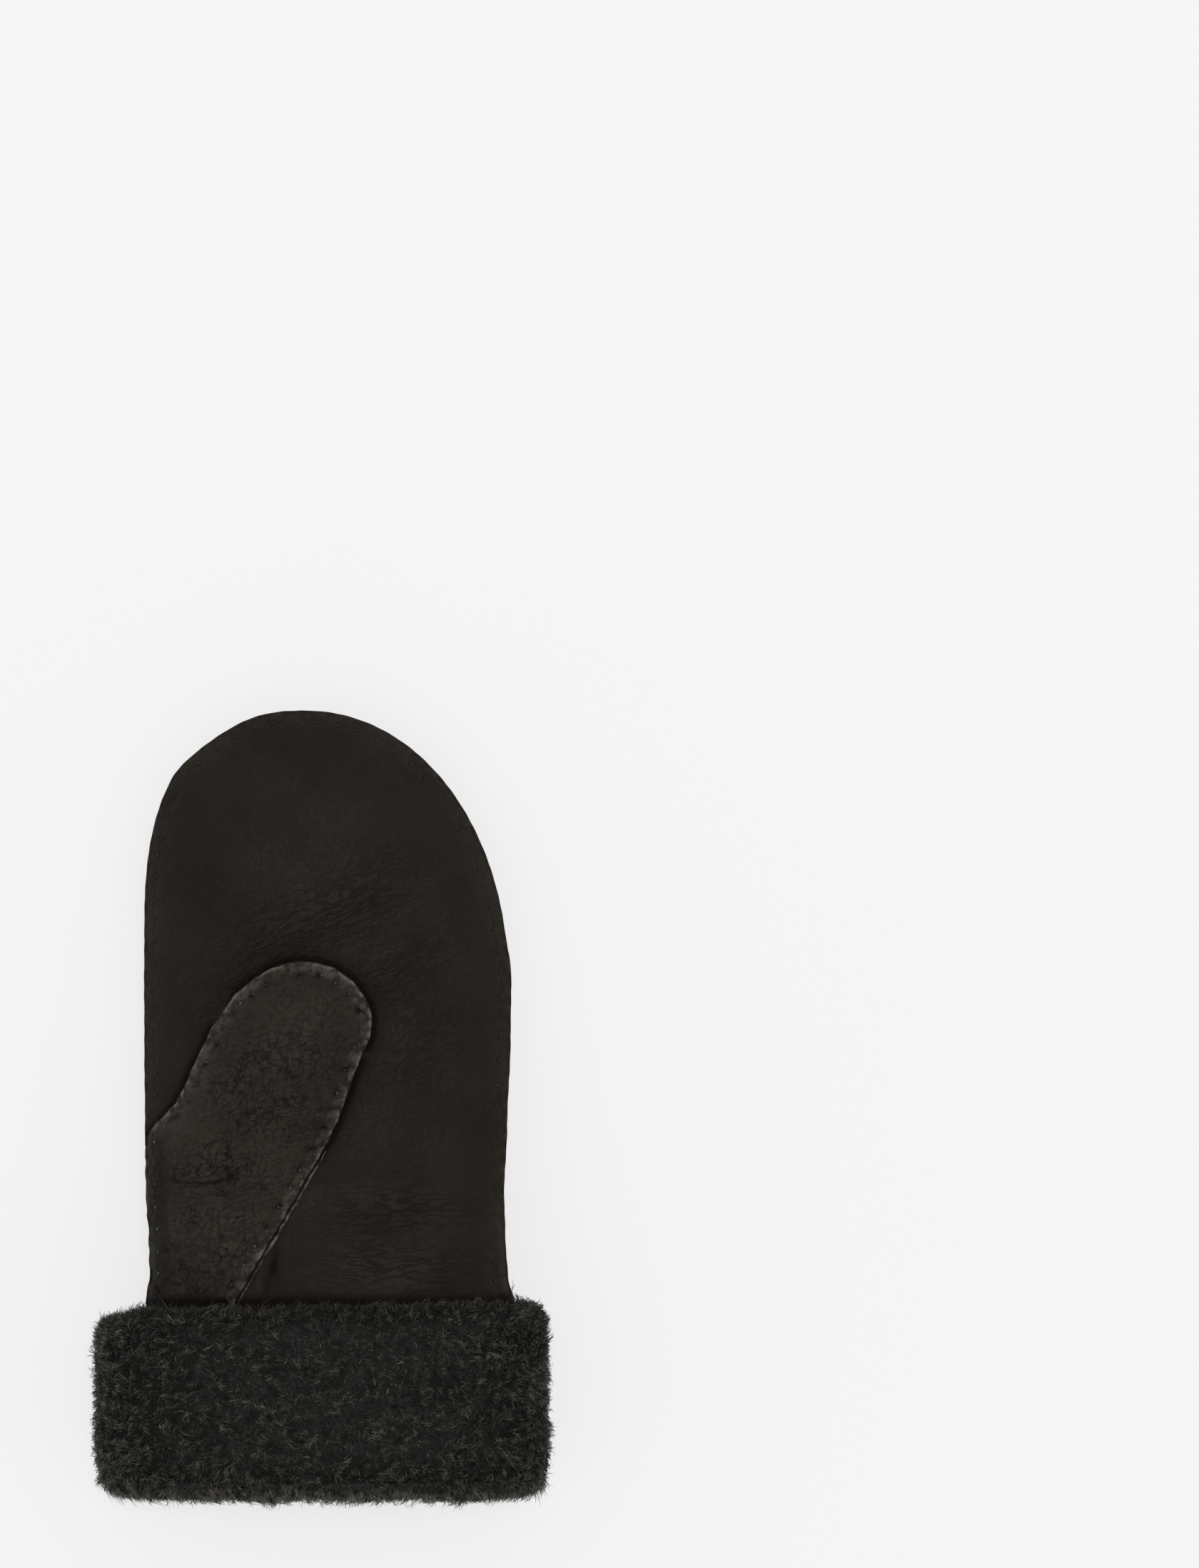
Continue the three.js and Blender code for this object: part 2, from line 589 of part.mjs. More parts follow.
// Locks of wool, staggered over the outside and the roll, each a low leaning cone sunk in the
// backing. None are on the flattened underside.
function makeLocks() {
  const random = makeRandom(SEED);
  const turns = Array.from({ length: LOOP_STEPS }, (_, step) => (2 * Math.PI * step) / LOOP_STEPS);
  const round = new THREE.CatmullRomCurve3(turns.map((turn) => loopPoint(LOOPS.wool, turn, 0)), true);
  const centre = new THREE.Vector3(LOOPS.wool.middle, 0, LOOPS.wool.high / 2);
  const columns = Math.round(round.getLength() / LOCK_SPACING);
  const rows = Math.round(CUFF_HEIGHT / LOCK_SPACING);
  const locks = [];
  for (let row = 0; row < rows; row += 1) {
    const down = (row + 0.7) / rows;
    for (let column = 0; column < columns; column += 1) {
      const along = ((column + (row % 2) / 2 + 0.4 * random()) / columns) % 1;
      const place = round.getPointAt(along);
      if (place.z < UNDER_WOOL) {
        continue;
      }
      const ahead = round.getTangentAt(along);
      const lean = new THREE.Vector3(ahead.z, 0, -ahead.x);
      place.lerp(centre, down > 0.93 ? 0.08 : 0);
      place.y = slantAt(place.x) * (1 - down) - CUFF_HEIGHT * (down + (0.3 * (random() - 0.5)) / rows);
      lean.y = down > 0.85 ? -1.2 : -0.35 - 0.4 * random();
      lean.addScaledVector(ahead, 0.5 * (random() - 0.5)).normalize();
      const radius = LOCK_SPACING * (0.56 + 0.16 * random());
      const height = LOCK_HEIGHT * 2.2;
      const lock = new THREE.ConeGeometry(radius, height, 4);
      lock.rotateY(random() * Math.PI);
      lock.applyQuaternion(new THREE.Quaternion().setFromUnitVectors(THREE.Object3D.DEFAULT_UP, lean));
      place.addScaledVector(lean, LOCK_HEIGHT * (0.75 + 0.25 * random()) - height / 2);
      lock.translate(place.x, place.y, place.z);
      locks.push(lock);
    }
  }
  return locks;
}

// All that lies inside the wool of the cuff, from the fold up: the locks are cut off there.
function cuffCore() {
  const turns = Array.from({ length: LOOP_STEPS }, (_, step) => (2 * Math.PI * step) / LOOP_STEPS);
  const points = turns.map((turn) => {
    return loopPoint(LOOPS.skin, turn, 0).lerp(loopPoint(LOOPS.wool, turn, 0), CLEAR_SHARE);
  });
  const outline = new THREE.Shape(points.map(({ x, z }) => new THREE.Vector2(x, z)));
  const core = new THREE.ExtrudeGeometry(outline, { depth: 2 * CUFF_HEIGHT, bevelEnabled: false });
  core.rotateX(Math.PI / 2);
  core.translate(0, 2 * CUFF_HEIGHT + FOLD_Y, 0);
  return core;
}

function makeFleece() {
  const core = toSolid(stripped(cuffCore()));
  const locks = makeLocks().map((lock) => toSolid(stripped(lock)).subtract(core));
  const backing = toSolid(woolBacking());
  const slab = new THREE.BoxGeometry(3 * CUFF_WIDTH, 6 * CUFF_HEIGHT, CUFF_HEIGHT);
  slab.translate(0, 0, -CUFF_HEIGHT / 2);
  const joined = wasm.Manifold.union([backing, ...locks]);
  return toGeometry(joined.subtract(toSolid(stripped(slab))));
}

const MATERIALS = {
  leather: new THREE.MeshStandardMaterial({ color: 0x26231f, roughness: 0.7, metalness: 0 }),
  thumbLeather: new THREE.MeshStandardMaterial({ color: 0x292522, roughness: 0.7, metalness: 0 }),
  wool: new THREE.MeshStandardMaterial({ color: 0x201f1d, roughness: 1, metalness: 0 }),
};

const PIECES = {
  palm_panel: [makePalm(), MATERIALS.leather],
  back_panel: [makeBack(), MATERIALS.leather],
  thumb_front: [thicken(thumbFrontSurface(), LEATHER), MATERIALS.thumbLeather],
  cuff_skin: [makeCuffSkin(), MATERIALS.leather],
  cuff_fleece: [makeFleece(), MATERIALS.wool],
};

const mitten = new THREE.Group();
for (const [name, [geometry, material]] of Object.entries(PIECES)) {
  const mesh = new THREE.Mesh(geometry, material);
  mesh.name = name;
  mitten.add(mesh);
}

// The origin goes to the bottom centre of the whole mitten.
const box = new THREE.Box3().setFromObject(mitten);
const middle = box.getCenter(new THREE.Vector3());
mitten.position.set(-middle.x, -middle.y, -box.min.z);

export default mitten;
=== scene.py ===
"""The looks of a left-hand sheepskin mitten that lies palm up, with its wool cuff turned out.

The leather panels, their stitched margins and the deep wool are worked out here as fine surfaces
round the same sizes as the solids that they stand for. Lengths in the classes are millimetres in
the cutting frame: X is 0 on the middle of the hand and Y is 0 at the top edge of the cuff. Place
moves them to the frame of the whole mitten, in metres.
"""

import logging
import math
from dataclasses import dataclass, field
from enum import Enum
from itertools import product

import bpy
import numpy as np
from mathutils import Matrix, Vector


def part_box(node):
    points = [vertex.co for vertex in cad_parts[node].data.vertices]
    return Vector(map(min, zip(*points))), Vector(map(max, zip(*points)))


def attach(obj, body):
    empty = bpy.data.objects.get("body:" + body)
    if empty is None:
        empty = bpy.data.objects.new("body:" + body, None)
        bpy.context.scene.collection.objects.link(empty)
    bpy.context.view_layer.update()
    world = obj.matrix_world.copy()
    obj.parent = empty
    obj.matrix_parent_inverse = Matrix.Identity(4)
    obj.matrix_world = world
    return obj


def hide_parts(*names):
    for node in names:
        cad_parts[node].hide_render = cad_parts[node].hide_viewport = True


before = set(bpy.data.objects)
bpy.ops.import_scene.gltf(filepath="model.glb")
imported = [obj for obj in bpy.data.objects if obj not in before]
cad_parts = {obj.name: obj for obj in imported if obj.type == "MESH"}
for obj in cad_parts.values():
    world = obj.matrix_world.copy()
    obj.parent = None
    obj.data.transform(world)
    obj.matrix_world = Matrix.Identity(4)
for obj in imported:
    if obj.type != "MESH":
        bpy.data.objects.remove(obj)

LOG = logging.getLogger("mitten")
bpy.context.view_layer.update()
MM = 0.001
TINY = 1e-9

# Odd numbers that the noise mixes whole numbers with, and the largest number that it keeps
HASH_X, HASH_Y, HASH_SEED, HASH_MIX = 374761393, 668265263, 974634777, 1274126177
WORD = 0xFFFFFFFF
CLUMP_ROW = 1009

# Millimetres that several pieces share: between stitches, from which height they show, off the floor
STITCH_PITCH = 7.3
STITCHES_FROM = -3.0
OFF_FLOOR = 0.06
FIBRES_OFF_FLOOR = 0.05

# Steps between two rows of the thumb's table and round its tip, and points on a curve to even out
THUMB_STEPS, TIP_STEPS = 18, 68
FINE_TURNS = 4001


# Small numbers work shared by all the pieces

def smooth(value: np.ndarray, low: float, high: float) -> np.ndarray:
    """Rise from 0 at low to 1 at high with flat ends.

    Args:
        value: Numbers to place between the two limits.
        low: Where the rise starts.
        high: Where it ends.

    Returns:
        Shares from 0 to 1.
    """
    share = np.clip((value - low) / (high - low), 0.0, 1.0)
    return share * share * (3.0 - 2.0 * share)


def bell(value: np.ndarray, width: float) -> np.ndarray:
    """Return 1 at value 0, falling off smoothly over the width."""
    return np.exp(-((value / width) ** 2))


def mixed_bits(ix: np.ndarray, iy: np.ndarray, seed: int) -> np.ndarray:
    """Give each whole-number corner a fixed number.

    Args:
        ix: Whole numbers along the first direction.
        iy: Whole numbers along the second direction.
        seed: Picks another set of numbers.

    Returns:
        Numbers from 0 to 1.
    """
    mixed = ix.astype(np.int64) * HASH_X + iy.astype(np.int64) * HASH_Y + seed * HASH_SEED
    mixed = mixed & WORD
    mixed = ((mixed ^ (mixed >> 13)) * HASH_MIX) & WORD
    return (mixed ^ (mixed >> 16)).astype(float) / WORD


def ripple(x: np.ndarray, y: np.ndarray, seed: int = 0) -> np.ndarray:
    """Gradient noise: slopes at whole-number corners, blended smoothly between them.

    Args:
        x: First coordinate, one cell per unit.
        y: Second coordinate.
        seed: Picks another pattern.

    Returns:
        Heights from about -1 to 1.
    """
    ix, iy = np.floor(x), np.floor(y)
    fx, fy = x - ix, y - iy
    corners = []
    for dx in (0, 1):
        for dy in (0, 1):
            angle = mixed_bits(ix + dx, iy + dy, seed) * 2.0 * math.pi
            corners.append(np.cos(angle) * (fx - dx) + np.sin(angle) * (fy - dy))
    wx = fx * fx * fx * (fx * (fx * 6 - 15) + 10)
    wy = fy * fy * fy * (fy * (fy * 6 - 15) + 10)
    left = corners[0] + (corners[1] - corners[0]) * wy
    right = corners[2] + (corners[3] - corners[2]) * wy
    return (left + (right - left) * wx) * 1.5


def spline(points: np.ndarray, steps: int) -> np.ndarray:
    """Run a smooth curve through rows of numbers, with even steps between the rows.

    Args:
        points: Rows that the curve goes through, one per knot.
        steps: Steps from each knot to the next.

    Returns:
        Rows on the curve: a cubic whose slope at each knot follows its two neighbours.
    """
    ends = np.vstack([2 * points[:1] - points[1:2], points, 2 * points[-1:] - points[-2:-1]])
    where = np.linspace(0, len(points) - 1, (len(points) - 1) * steps + 1)
    knot = np.minimum(where.astype(int), len(points) - 2)
    t = (where - knot)[:, None]
    a, b, c, d = ends[knot], ends[knot + 1], ends[knot + 2], ends[knot + 3]
    start, end = (c - a) / 2, (d - b) / 2
    return b + t * (start + t * (3 * (c - b) - 2 * start - end + t * (start + end - 2 * (c - b))))


def unit(vectors: np.ndarray) -> np.ndarray:
    """Return the vectors at length 1, and those with no length unchanged."""
    length = np.linalg.norm(vectors, axis=-1, keepdims=True)
    return vectors / np.where(length < TINY, 1.0, length)


def run_length(points: np.ndarray) -> np.ndarray:
    """Return the distance along a row of points: 0, then the sum of the steps up to each."""
    return np.concatenate([[0.0], np.cumsum(np.linalg.norm(np.diff(points, axis=0), axis=1))])


def turned(dx: np.ndarray, dy: np.ndarray, degrees: float) -> tuple[np.ndarray, np.ndarray]:
    """Split steps into their parts along and across a direction.

    Args:
        dx: Steps in X.
        dy: Steps in Y.
        degrees: The direction, from X toward Y.

    Returns:
        The parts along it and the parts across it, by its cosine and sine.
    """
    cosine, sine = math.cos(math.radians(degrees)), math.sin(math.radians(degrees))
    return dx * cosine + dy * sine, dy * cosine - dx * sine


def tidy_faces(faces: np.ndarray) -> np.ndarray:
    """Sort out the four-cornered faces that welding has narrowed.

    Args:
        faces: Rows of four corners.

    Returns:
        Rows of four corners without the flat ones, where a triangle has its last corner doubled.
    """
    doubled = faces == np.roll(faces, -1, axis=1)
    flat = (doubled.sum(axis=1) > 1) | (faces[:, 0] == faces[:, 2]) | (faces[:, 1] == faces[:, 3])
    faces, doubled = faces[~flat], doubled[~flat]
    at = np.where(doubled.any(axis=1), doubled.argmax(axis=1), 2)
    return np.take_along_axis(faces, (np.arange(4)[None, :] + at[:, None] - 2) % 4, axis=1)


@dataclass(frozen=True)
class Place:
    """Moves cutting-frame millimetres to the whole mitten's frame in metres."""

    shift_x: float
    shift_y: float

    def metres(self, points: np.ndarray) -> np.ndarray:
        """Return the points shifted and in metres."""
        return (points + np.array([self.shift_x, self.shift_y, 0.0])) * MM


@dataclass
class Skin:
    """Points and faces of one surface, with named numbers for each point.

    Faces are rows of four corners, and a row whose last two are equal is a triangle.
    """

    points: np.ndarray
    faces: np.ndarray
    marks: dict[str, np.ndarray] = field(default_factory=dict)

    @staticmethod
    def from_grid(grid: np.ndarray, up: bool, marks: dict[str, np.ndarray]) -> "Skin":
        """Join a grid of points into faces and weld the points that coincide.

        Args:
            grid: Points in rows and columns.
            up: Whether the first direction crossed into the second looks inward.
            marks: Numbers for each point of the grid.

        Returns:
            The welded surface.
        """
        rows, columns = grid.shape[:2]
        index = np.arange(rows * columns).reshape(rows, columns)
        a, b = index[:-1, :-1], index[:-1, 1:]
        c, d = index[1:, 1:], index[1:, :-1]
        faces = np.stack((a, b, c, d) if up else (a, d, c, b), axis=-1).reshape(-1, 4)
        return Skin.welded(grid.reshape(-1, 3), faces, marks, 3)

    @staticmethod
    def welded(points: np.ndarray, faces: np.ndarray, marks: dict[str, np.ndarray], digits: int) -> "Skin":
        """Make one point of those that coincide.

        Args:
            points: All the points.
            faces: Rows of four corners.
            marks: Numbers for each point.
            digits: Digits of a millimetre in which points that coincide agree.

        Returns:
            The surface.
        """
        _, first, back = np.unique(np.round(points, digits), axis=0, return_index=True, return_inverse=True)
        kept = {name: mark.reshape(-1)[first] for name, mark in marks.items()}
        return Skin(points[first], tidy_faces(back.reshape(-1)[faces]), kept)

    def without(self, drop: np.ndarray) -> "Skin":
        """Leave out some faces, and the points that only they use.

        Args:
            drop: True for each face to leave out.

        Returns:
            The rest of the surface.
        """
        faces = self.faces[~drop]
        used, back = np.unique(faces, return_inverse=True)
        marks = {name: mark[used] for name, mark in self.marks.items()}
        return Skin(self.points[used], back.reshape(faces.shape), marks)

    def joined(self, other: "Skin") -> "Skin":
        """Put another surface beside this one, to go in the same mesh.

        Args:
            other: The other surface, with the same marks.

        Returns:
            Both as one surface.
        """
        marks = {name: np.concatenate([mark, other.marks[name]]) for name, mark in self.marks.items()}
        faces = np.vstack([self.faces, other.faces + len(self.points)])
        return Skin(np.vstack([self.points, other.points]), faces, marks)

    def centres(self) -> np.ndarray:
        """Return the middle of each face."""
        return self.points[self.faces].mean(axis=1)

    def to_object(self, name: str, place: Place) -> bpy.types.Object:
        """Make the surface a mesh object in the whole mitten's frame.

        Args:
            name: Name of the object and its mesh.
            place: Where the cutting frame lies.

        Returns:
            The object, linked to the scene.
        """
        triangle = self.faces[:, 2] == self.faces[:, 3]
        sizes = np.where(triangle, 3, 4)
        starts = np.concatenate([[0], np.cumsum(sizes)[:-1]]).astype(np.int32)
        kept = np.ones(self.faces.shape, bool)
        kept[triangle, 3] = False
        mesh = bpy.data.meshes.new(name)
        mesh.vertices.add(len(self.points))
        mesh.vertices.foreach_set("co", place.metres(self.points).astype(np.float32).ravel())
        mesh.loops.add(int(sizes.sum()))
        mesh.loops.foreach_set("vertex_index", self.faces[kept].astype(np.int32))
        mesh.polygons.add(len(sizes))
        mesh.polygons.foreach_set("loop_start", starts)
        mesh.update(calc_edges=True)
        mesh.polygons.foreach_set("use_smooth", np.ones(len(sizes), bool))
        for mark, numbers in self.marks.items():
            layer = mesh.attributes.new(mark, "FLOAT", "POINT")
            layer.data.foreach_set("value", numbers.astype(np.float32))
        mesh.validate()
        piece = bpy.data.objects.new(name, mesh)
        bpy.context.scene.collection.objects.link(piece)
        return piece


def grid_normals(grid: np.ndarray, up: bool) -> np.ndarray:
    """Work out which way a panel's grid faces at each point.

    Args:
        grid: Points in rows round the edge and columns from the edge to the middle line.
        up: Whether the panel looks up.

    Returns:
        A unit vector for each point, upright on the middle line, where the two halves meet.
    """
    side = 1.0 if up else -1.0
    normal = side * np.cross(np.gradient(grid, axis=1), np.gradient(grid, axis=0))
    lost = np.linalg.norm(normal, axis=-1) < TINY
    lost[:, -1] = True
    normal[lost] = (0.0, 0.0, side)
    return unit(normal)


# The forms that the panels and the cuff follow

class Side(Enum):
    """The two long sides of the hand."""

    NEAR = -1
    FAR = 1


@dataclass(frozen=True)
class HandForm:
    """The hand's outline and heights, as in the solids but for a shoulder that is drawn in."""

    width: float = 120.0
    length: float = 192.4
    thickness: float = 37.0
    seam: float = 15.5
    round_near: float = 73.0
    round_far: float = 90.0
    power_near: float = 2.6
    power_far: float = 2.045
    shoulder: float = 0.15
    shoulder_from: float = 22.4
    shoulder_to: float = 0.4
    apex: float = -7.5
    leather: float = 1.8
    margin: float = 4.0
    gap: float = 0.3
    crotch: float = 52.0
    cuff: float = 68.0
    roll: float = 10.0
    arm: float = 36.0
    under_wool: float = 9.0
    ease: float = 0.88
    lip: float = 0.8
    flare: float = 1.3
    # share of the height, share of half the width on the near side, and on the far side
    edges: tuple = (
        (0.0, 0.968, 1.005), (0.3, 0.968, 1.009), (0.36, 0.968, 0.989), (0.44, 0.975, 0.975),
        (0.52, 0.994, 0.968), (0.64, 0.998, 0.984), (0.8, 1.005, 1.002), (0.92, 1.008, 1.006),
        (1.0, 1.007, 0.99),
    )
    # place over the width and the length, degrees from X, run, width, rise in millimetres
    folds: tuple = (
        (-0.1, 0.66, 28.0, 0.3, 0.05, 0.9), (0.02, 0.6, 28.0, 0.33, 0.05, -0.9),
        (0.3, 0.58, 31.0, 0.22, 0.045, 0.8), (0.42, 0.51, 24.0, 0.2, 0.05, -0.8),
        (0.3, 0.2, 4.0, 0.24, 0.03, 0.7), (0.34, 0.15, -3.0, 0.22, 0.03, -0.8),
        (-0.29, 0.04, 99.0, 0.1, 0.02, -1.1), (0.6, 0.05, 80.0, 0.12, 0.05, 0.9),
    )

    @property
    def fold(self) -> float:
        """Height of the folded hide at the mouth."""
        return self.roll - self.cuff

    @property
    def spine_top(self) -> float:
        """Height where the middle line ends and the round finger end begins."""
        return self.length - self.round_near

    @property
    def arm_floor(self) -> float:
        """Underside of the leather tube inside the cuff."""
        return self.under_wool + self.leather + 4 * self.gap

    @property
    def arm_top(self) -> float:
        """Top of that tube."""
        return self.arm_floor + self.arm

    def edge(self, y: np.ndarray, side: Side) -> np.ndarray:
        """Find the hand's outline.

        Args:
            y: Heights over the cuff.
            side: Which long side.

        Returns:
            X of the outline: a table of shares below, a squared oval round the end, drawn in at
            the near side's shoulder.
        """
        near = side is Side.NEAR
        table = np.array(self.edges)
        up = np.clip((y - self.fold) / (self.spine_top - self.fold), 0.0, 1.0)
        row = np.clip(np.searchsorted(table[:, 0], up, side="right") - 1, 0, len(table) - 2)
        low, high = table[row], table[row + 1]
        share = smooth((up - low[..., 0]) / (high[..., 0] - low[..., 0]), 0.0, 1.0)
        column = 1 if near else 2
        straight = side.value * self.width / 2 * (low[..., column] * (1 - share) + high[..., column] * share)
        end = self.round_near if near else self.round_far
        power = self.power_near if near else self.power_far
        past = np.clip((y - self.length + end) / end, 0.0, 1.0)
        flare = side.value * self.flare * bell(y + 1.0, 5.0)
        limits = self.length - self.shoulder_from, self.length - self.shoulder_to
        drawn = 1 - self.shoulder * smooth(y, *limits) * near
        return self.apex + (straight - self.apex) * (1 - past**power) ** (1 / power) * drawn + flare

    def seam_height(self, y: np.ndarray) -> np.ndarray:
        """Return the outseam's height, which climbs to the middle of the cuff."""
        low = self.arm_floor + self.arm * 0.48
        return low + (self.seam - low) * smooth(y, -self.cuff / 4, self.spine_top)

    def floor_height(self, y: np.ndarray) -> np.ndarray:
        """Return the lowest leather's height, flat under the fingers and lifted by the cuff."""
        return self.arm_floor * smooth(-y, -self.length * 0.42, -self.length * 0.02)

    def crown_height(self, y: np.ndarray) -> np.ndarray:
        """Return the palm's height on its middle line."""
        return self.arm_top + (self.thickness - self.arm_top) * smooth(y, 0.0, self.length * 0.34)

    def fullness(self, y: np.ndarray) -> np.ndarray:
        """Return how squarely the hand fills out, 1 where the cuff holds it round."""
        return 1 - smooth(y, -self.cuff / 4, self.crotch)

    @staticmethod
    def pillow(share: np.ndarray, full: np.ndarray) -> np.ndarray:
        """Return the round rise of a panel from its margin, 0, to its middle line, 1."""
        return (1 - (1 - share) ** (2.5 + 0.9 * full)) ** (0.55 - 0.09 * full)

    def rise(self, inward: np.ndarray, total: np.ndarray, full: np.ndarray, ease: float) -> np.ndarray:
        """Find how far up its rise a panel is.

        Args:
            inward: Distance from the edge.
            total: Distance from the edge to the middle line.
            full: How squarely the panel fills out.
            ease: Share of a rise that starts at the very edge, against one behind a flat margin.

        Returns:
            Shares from 0 at the edge to 1 at the middle line.
        """
        ease = ease * (1 - 0.7 * smooth(full, 0.8, 0.98))
        flat = self.pillow(np.clip((inward - self.margin) / (total - self.margin), 0.0, 1.0), full)
        share = np.clip((inward - self.lip) / (total - self.lip), 0.0, 1.0)
        soft = (1 - (1 - share) ** (2.5 + 0.9 * full)) ** (0.78 - 0.16 * full)
        return flat + (soft - flat) * ease

    def relief(self, x: np.ndarray, y: np.ndarray) -> np.ndarray:
        """Find the height that the soft folds add to the palm.

        Args:
            x: Places across.
            y: Places over the cuff.

        Returns:
            The sum of the folds, each of them a leaning bell.
        """
        height = np.zeros_like(x)
        for at_x, at_y, degrees, run, wide, rise in self.folds:
            along, across = turned(x - at_x * self.width / 2, y - at_y * self.length, degrees)
            along, across = along / (run * self.width), across / (wide * self.width)
            height += rise * np.exp(-(along**2) - across**2)
        return height

    def palm_height(self, x: np.ndarray, y: np.ndarray) -> np.ndarray:
        """Find the top of the palm's leather, below the round finger end.

        Args:
            x: Places across.
            y: Places over the cuff.

        Returns:
            The seam's height, plus the panel's rise, plus the folds where they are off the margin.
        """
        near, far = self.edge(y, Side.NEAR), self.edge(y, Side.FAR)
        half = (far - near) / 2
        inward = half - np.minimum(np.abs(x - (near + far) / 2), half)
        rim = self.seam_height(y) + self.gap / 2 + self.leather
        rise = (self.crown_height(y) - rim) * self.rise(inward, half, self.fullness(y), self.ease)
        return rim + rise + self.relief(x, y) * smooth((inward - self.margin) / half, 0.0, 0.3)


@dataclass(frozen=True)
class ThumbForm:
    """The thumb's outline and heights, after the solids."""

    hand: HandForm
    length: float = 64.5
    width: float = 51.0
    tip_radius: float = 22.5
    lean: float = 21.0
    thickness: float = 17.5
    standoff: float = 8.4
    root: float = -28.2
    seam_foot: float = -29.0
    first_loose: int = 7
    # up, near along and aside, far along and aside, stand, crown; none where the seams are
    rows: tuple = (
        (-1.0, None, None, 0.0, 0.0), (-0.5, None, None, 0.0, 0.0), (-0.14, None, None, 0.0, 0.01),
        (0.0, None, None, 0.0, 0.02),
        (0.27, None, None, 0.0, 0.1), (0.52, None, None, 0.0, 0.24), (0.76, None, None, 0.0, 0.42),
        (0.98, None, (0.164, 0.535), 0.0, 0.62), (1.1, (-0.02, -0.5), (0.27, 0.542), 0.4, 0.8),
        (1.2, (0.085, -0.462), (0.4, 0.542), 0.72, 0.92), (1.4, (0.264, -0.447), (0.5, 0.538), 0.94, 1.0),
        (1.6, (0.465, -0.425), (0.59, 0.54), 1.0, 1.0),
    )
    # degrees from X round the tip, radius there
    tip: tuple = (
        (-21, 21.6), (-10, 22.3), (10, 23.0), (40, 22.3), (81, 21.4), (115, 21.5), (130, 22.0),
        (145, 23.1), (159, 24.8),
    )

    def point(self, along: float, aside: float) -> np.ndarray:
        """Find a place by the thumb's own axis, which leans from Y toward X.

        Args:
            along: Distance up the axis from the thumb's root.
            aside: Distance to its far side.

        Returns:
            X and Y.
        """
        turn = math.radians(self.lean)
        forward = np.array([math.sin(turn), math.cos(turn)])
        across = np.array([math.cos(turn), -math.sin(turn)])
        return np.array([self.root, self.hand.crotch]) + along * forward + aside * across

    def seam_head(self) -> np.ndarray:
        """Return the top of the slanting seam, where the thumb comes loose of the palm."""
        along, aside = self.rows[self.first_loose][2]
        return self.point(along * self.length, aside * self.width)

    def centre(self) -> np.ndarray:
        """Return the middle of the round tip."""
        return self.point(self.length - self.tip_radius, self.width * 0.118)

    def on_palm(self, xy: np.ndarray) -> np.ndarray:
        """Return the height of a hide that lies on the palm."""
        return self.hand.palm_height(xy[:, 0], xy[:, 1]) + self.hand.gap + self.hand.leather

    def edges(self, first: int, steps: int, tip_steps: int) -> dict[str, np.ndarray]:
        """Trace the thumb's edge up the near side, round the tip and down the far side.

        Args:
            first: First row of the table to take.
            steps: Steps between two rows.
            tip_steps: Steps round the tip.

        Returns:
            edge: X, Y and height of the margin. spine: the place of the middle line that it faces.
            stand: how far the margin stands off the palm, from 0 to 1. outseam: 1 where the
            edge is in the hand's own outseam.
        """
        hand = self.hand
        seam_top = self.seam_head()
        rows = []
        for up, near, far, stand, crown in self.rows[first:]:
            y = max(-up * hand.fold, hand.fold + hand.gap) if up < 0 else up * hand.crotch
            seam_x = self.seam_foot + (seam_top[0] - self.seam_foot) * max(0.0, y) / seam_top[1]
            at_near = (float(hand.edge(np.array(y), Side.NEAR)), y) if near is None else None
            near_xy = np.array(at_near or self.point(near[0] * self.length, near[1] * self.width))
            far_xy = (seam_x, y) if far is None else self.point(far[0] * self.length, far[1] * self.width)
            on_palm = self.on_palm(near_xy[None, :])[0] + stand * self.standoff
            on_seam = float(hand.seam_height(np.array(y))) + hand.gap / 2 + hand.leather
            near_z = on_seam if near is None else on_palm
            rows.append([*near_xy, near_z, *far_xy, stand, crown, float(near is None)])
        fine = spline(np.array(rows), steps)
        near, far, stand, crown = fine[:, :3], fine[:, 3:5], fine[:, 5], fine[:, 6]
        near[:, 0] = np.maximum(near[:, 0], hand.edge(near[:, 1], Side.NEAR))
        outseam = np.concatenate([np.clip(fine[:, 7], 0, 1), np.zeros(tip_steps + 1 + len(fine))])
        far = np.column_stack([far, self.on_palm(far) + stand * self.standoff])
        middle = (near[:, :2] + far[:, :2]) / 2
        spine = np.column_stack([middle, self.on_palm(middle) + crown * self.thickness])
        centre = self.centre()
        turns = math.pi - math.radians(self.lean) - np.linspace(0, math.pi, tip_steps + 1)
        radius = np.interp(turns, *np.array([(math.radians(turn), size) for turn, size in self.tip]).T)
        tip = centre + radius[:, None] * np.column_stack([np.cos(turns), np.sin(turns)])
        tip = np.column_stack([tip, self.on_palm(tip) + self.standoff])
        top = np.array([*centre, self.on_palm(centre[None, :])[0] + self.thickness])
        return {
            "edge": np.vstack([near, tip, far[::-1]]),
            "spine": np.vstack([spine, np.tile(top, (tip_steps + 1, 1)), spine[::-1]]),
            "stand": np.concatenate([stand, np.ones(tip_steps + 1), stand[::-1]]),
            "outseam": outseam[:, None],
        }


# Fine wrinkles, creases and stitches in the leather

class Grain(Enum):
    """How a patch of wrinkles runs, with the name of the numbers that mark it."""

    NET = "net"
    SLANT = "slant"
    LEVEL = "level"


@dataclass(frozen=True)
class Wrinkles:
    """A soft-edged patch of fine wrinkles, which the hide's finish draws."""

    x: float
    y: float
    run: float
    wide: float
    turn: float
    strength: float
    grain: Grain

    def strength_at(self, x: np.ndarray, y: np.ndarray) -> np.ndarray:
        """Return how strongly the wrinkles show: a leaning bell round the patch's middle."""
        along, across = turned(x - self.x, y - self.y, self.turn)
        return self.strength * np.exp(-((along / self.run) ** 2) - (across / self.wide) ** 2)


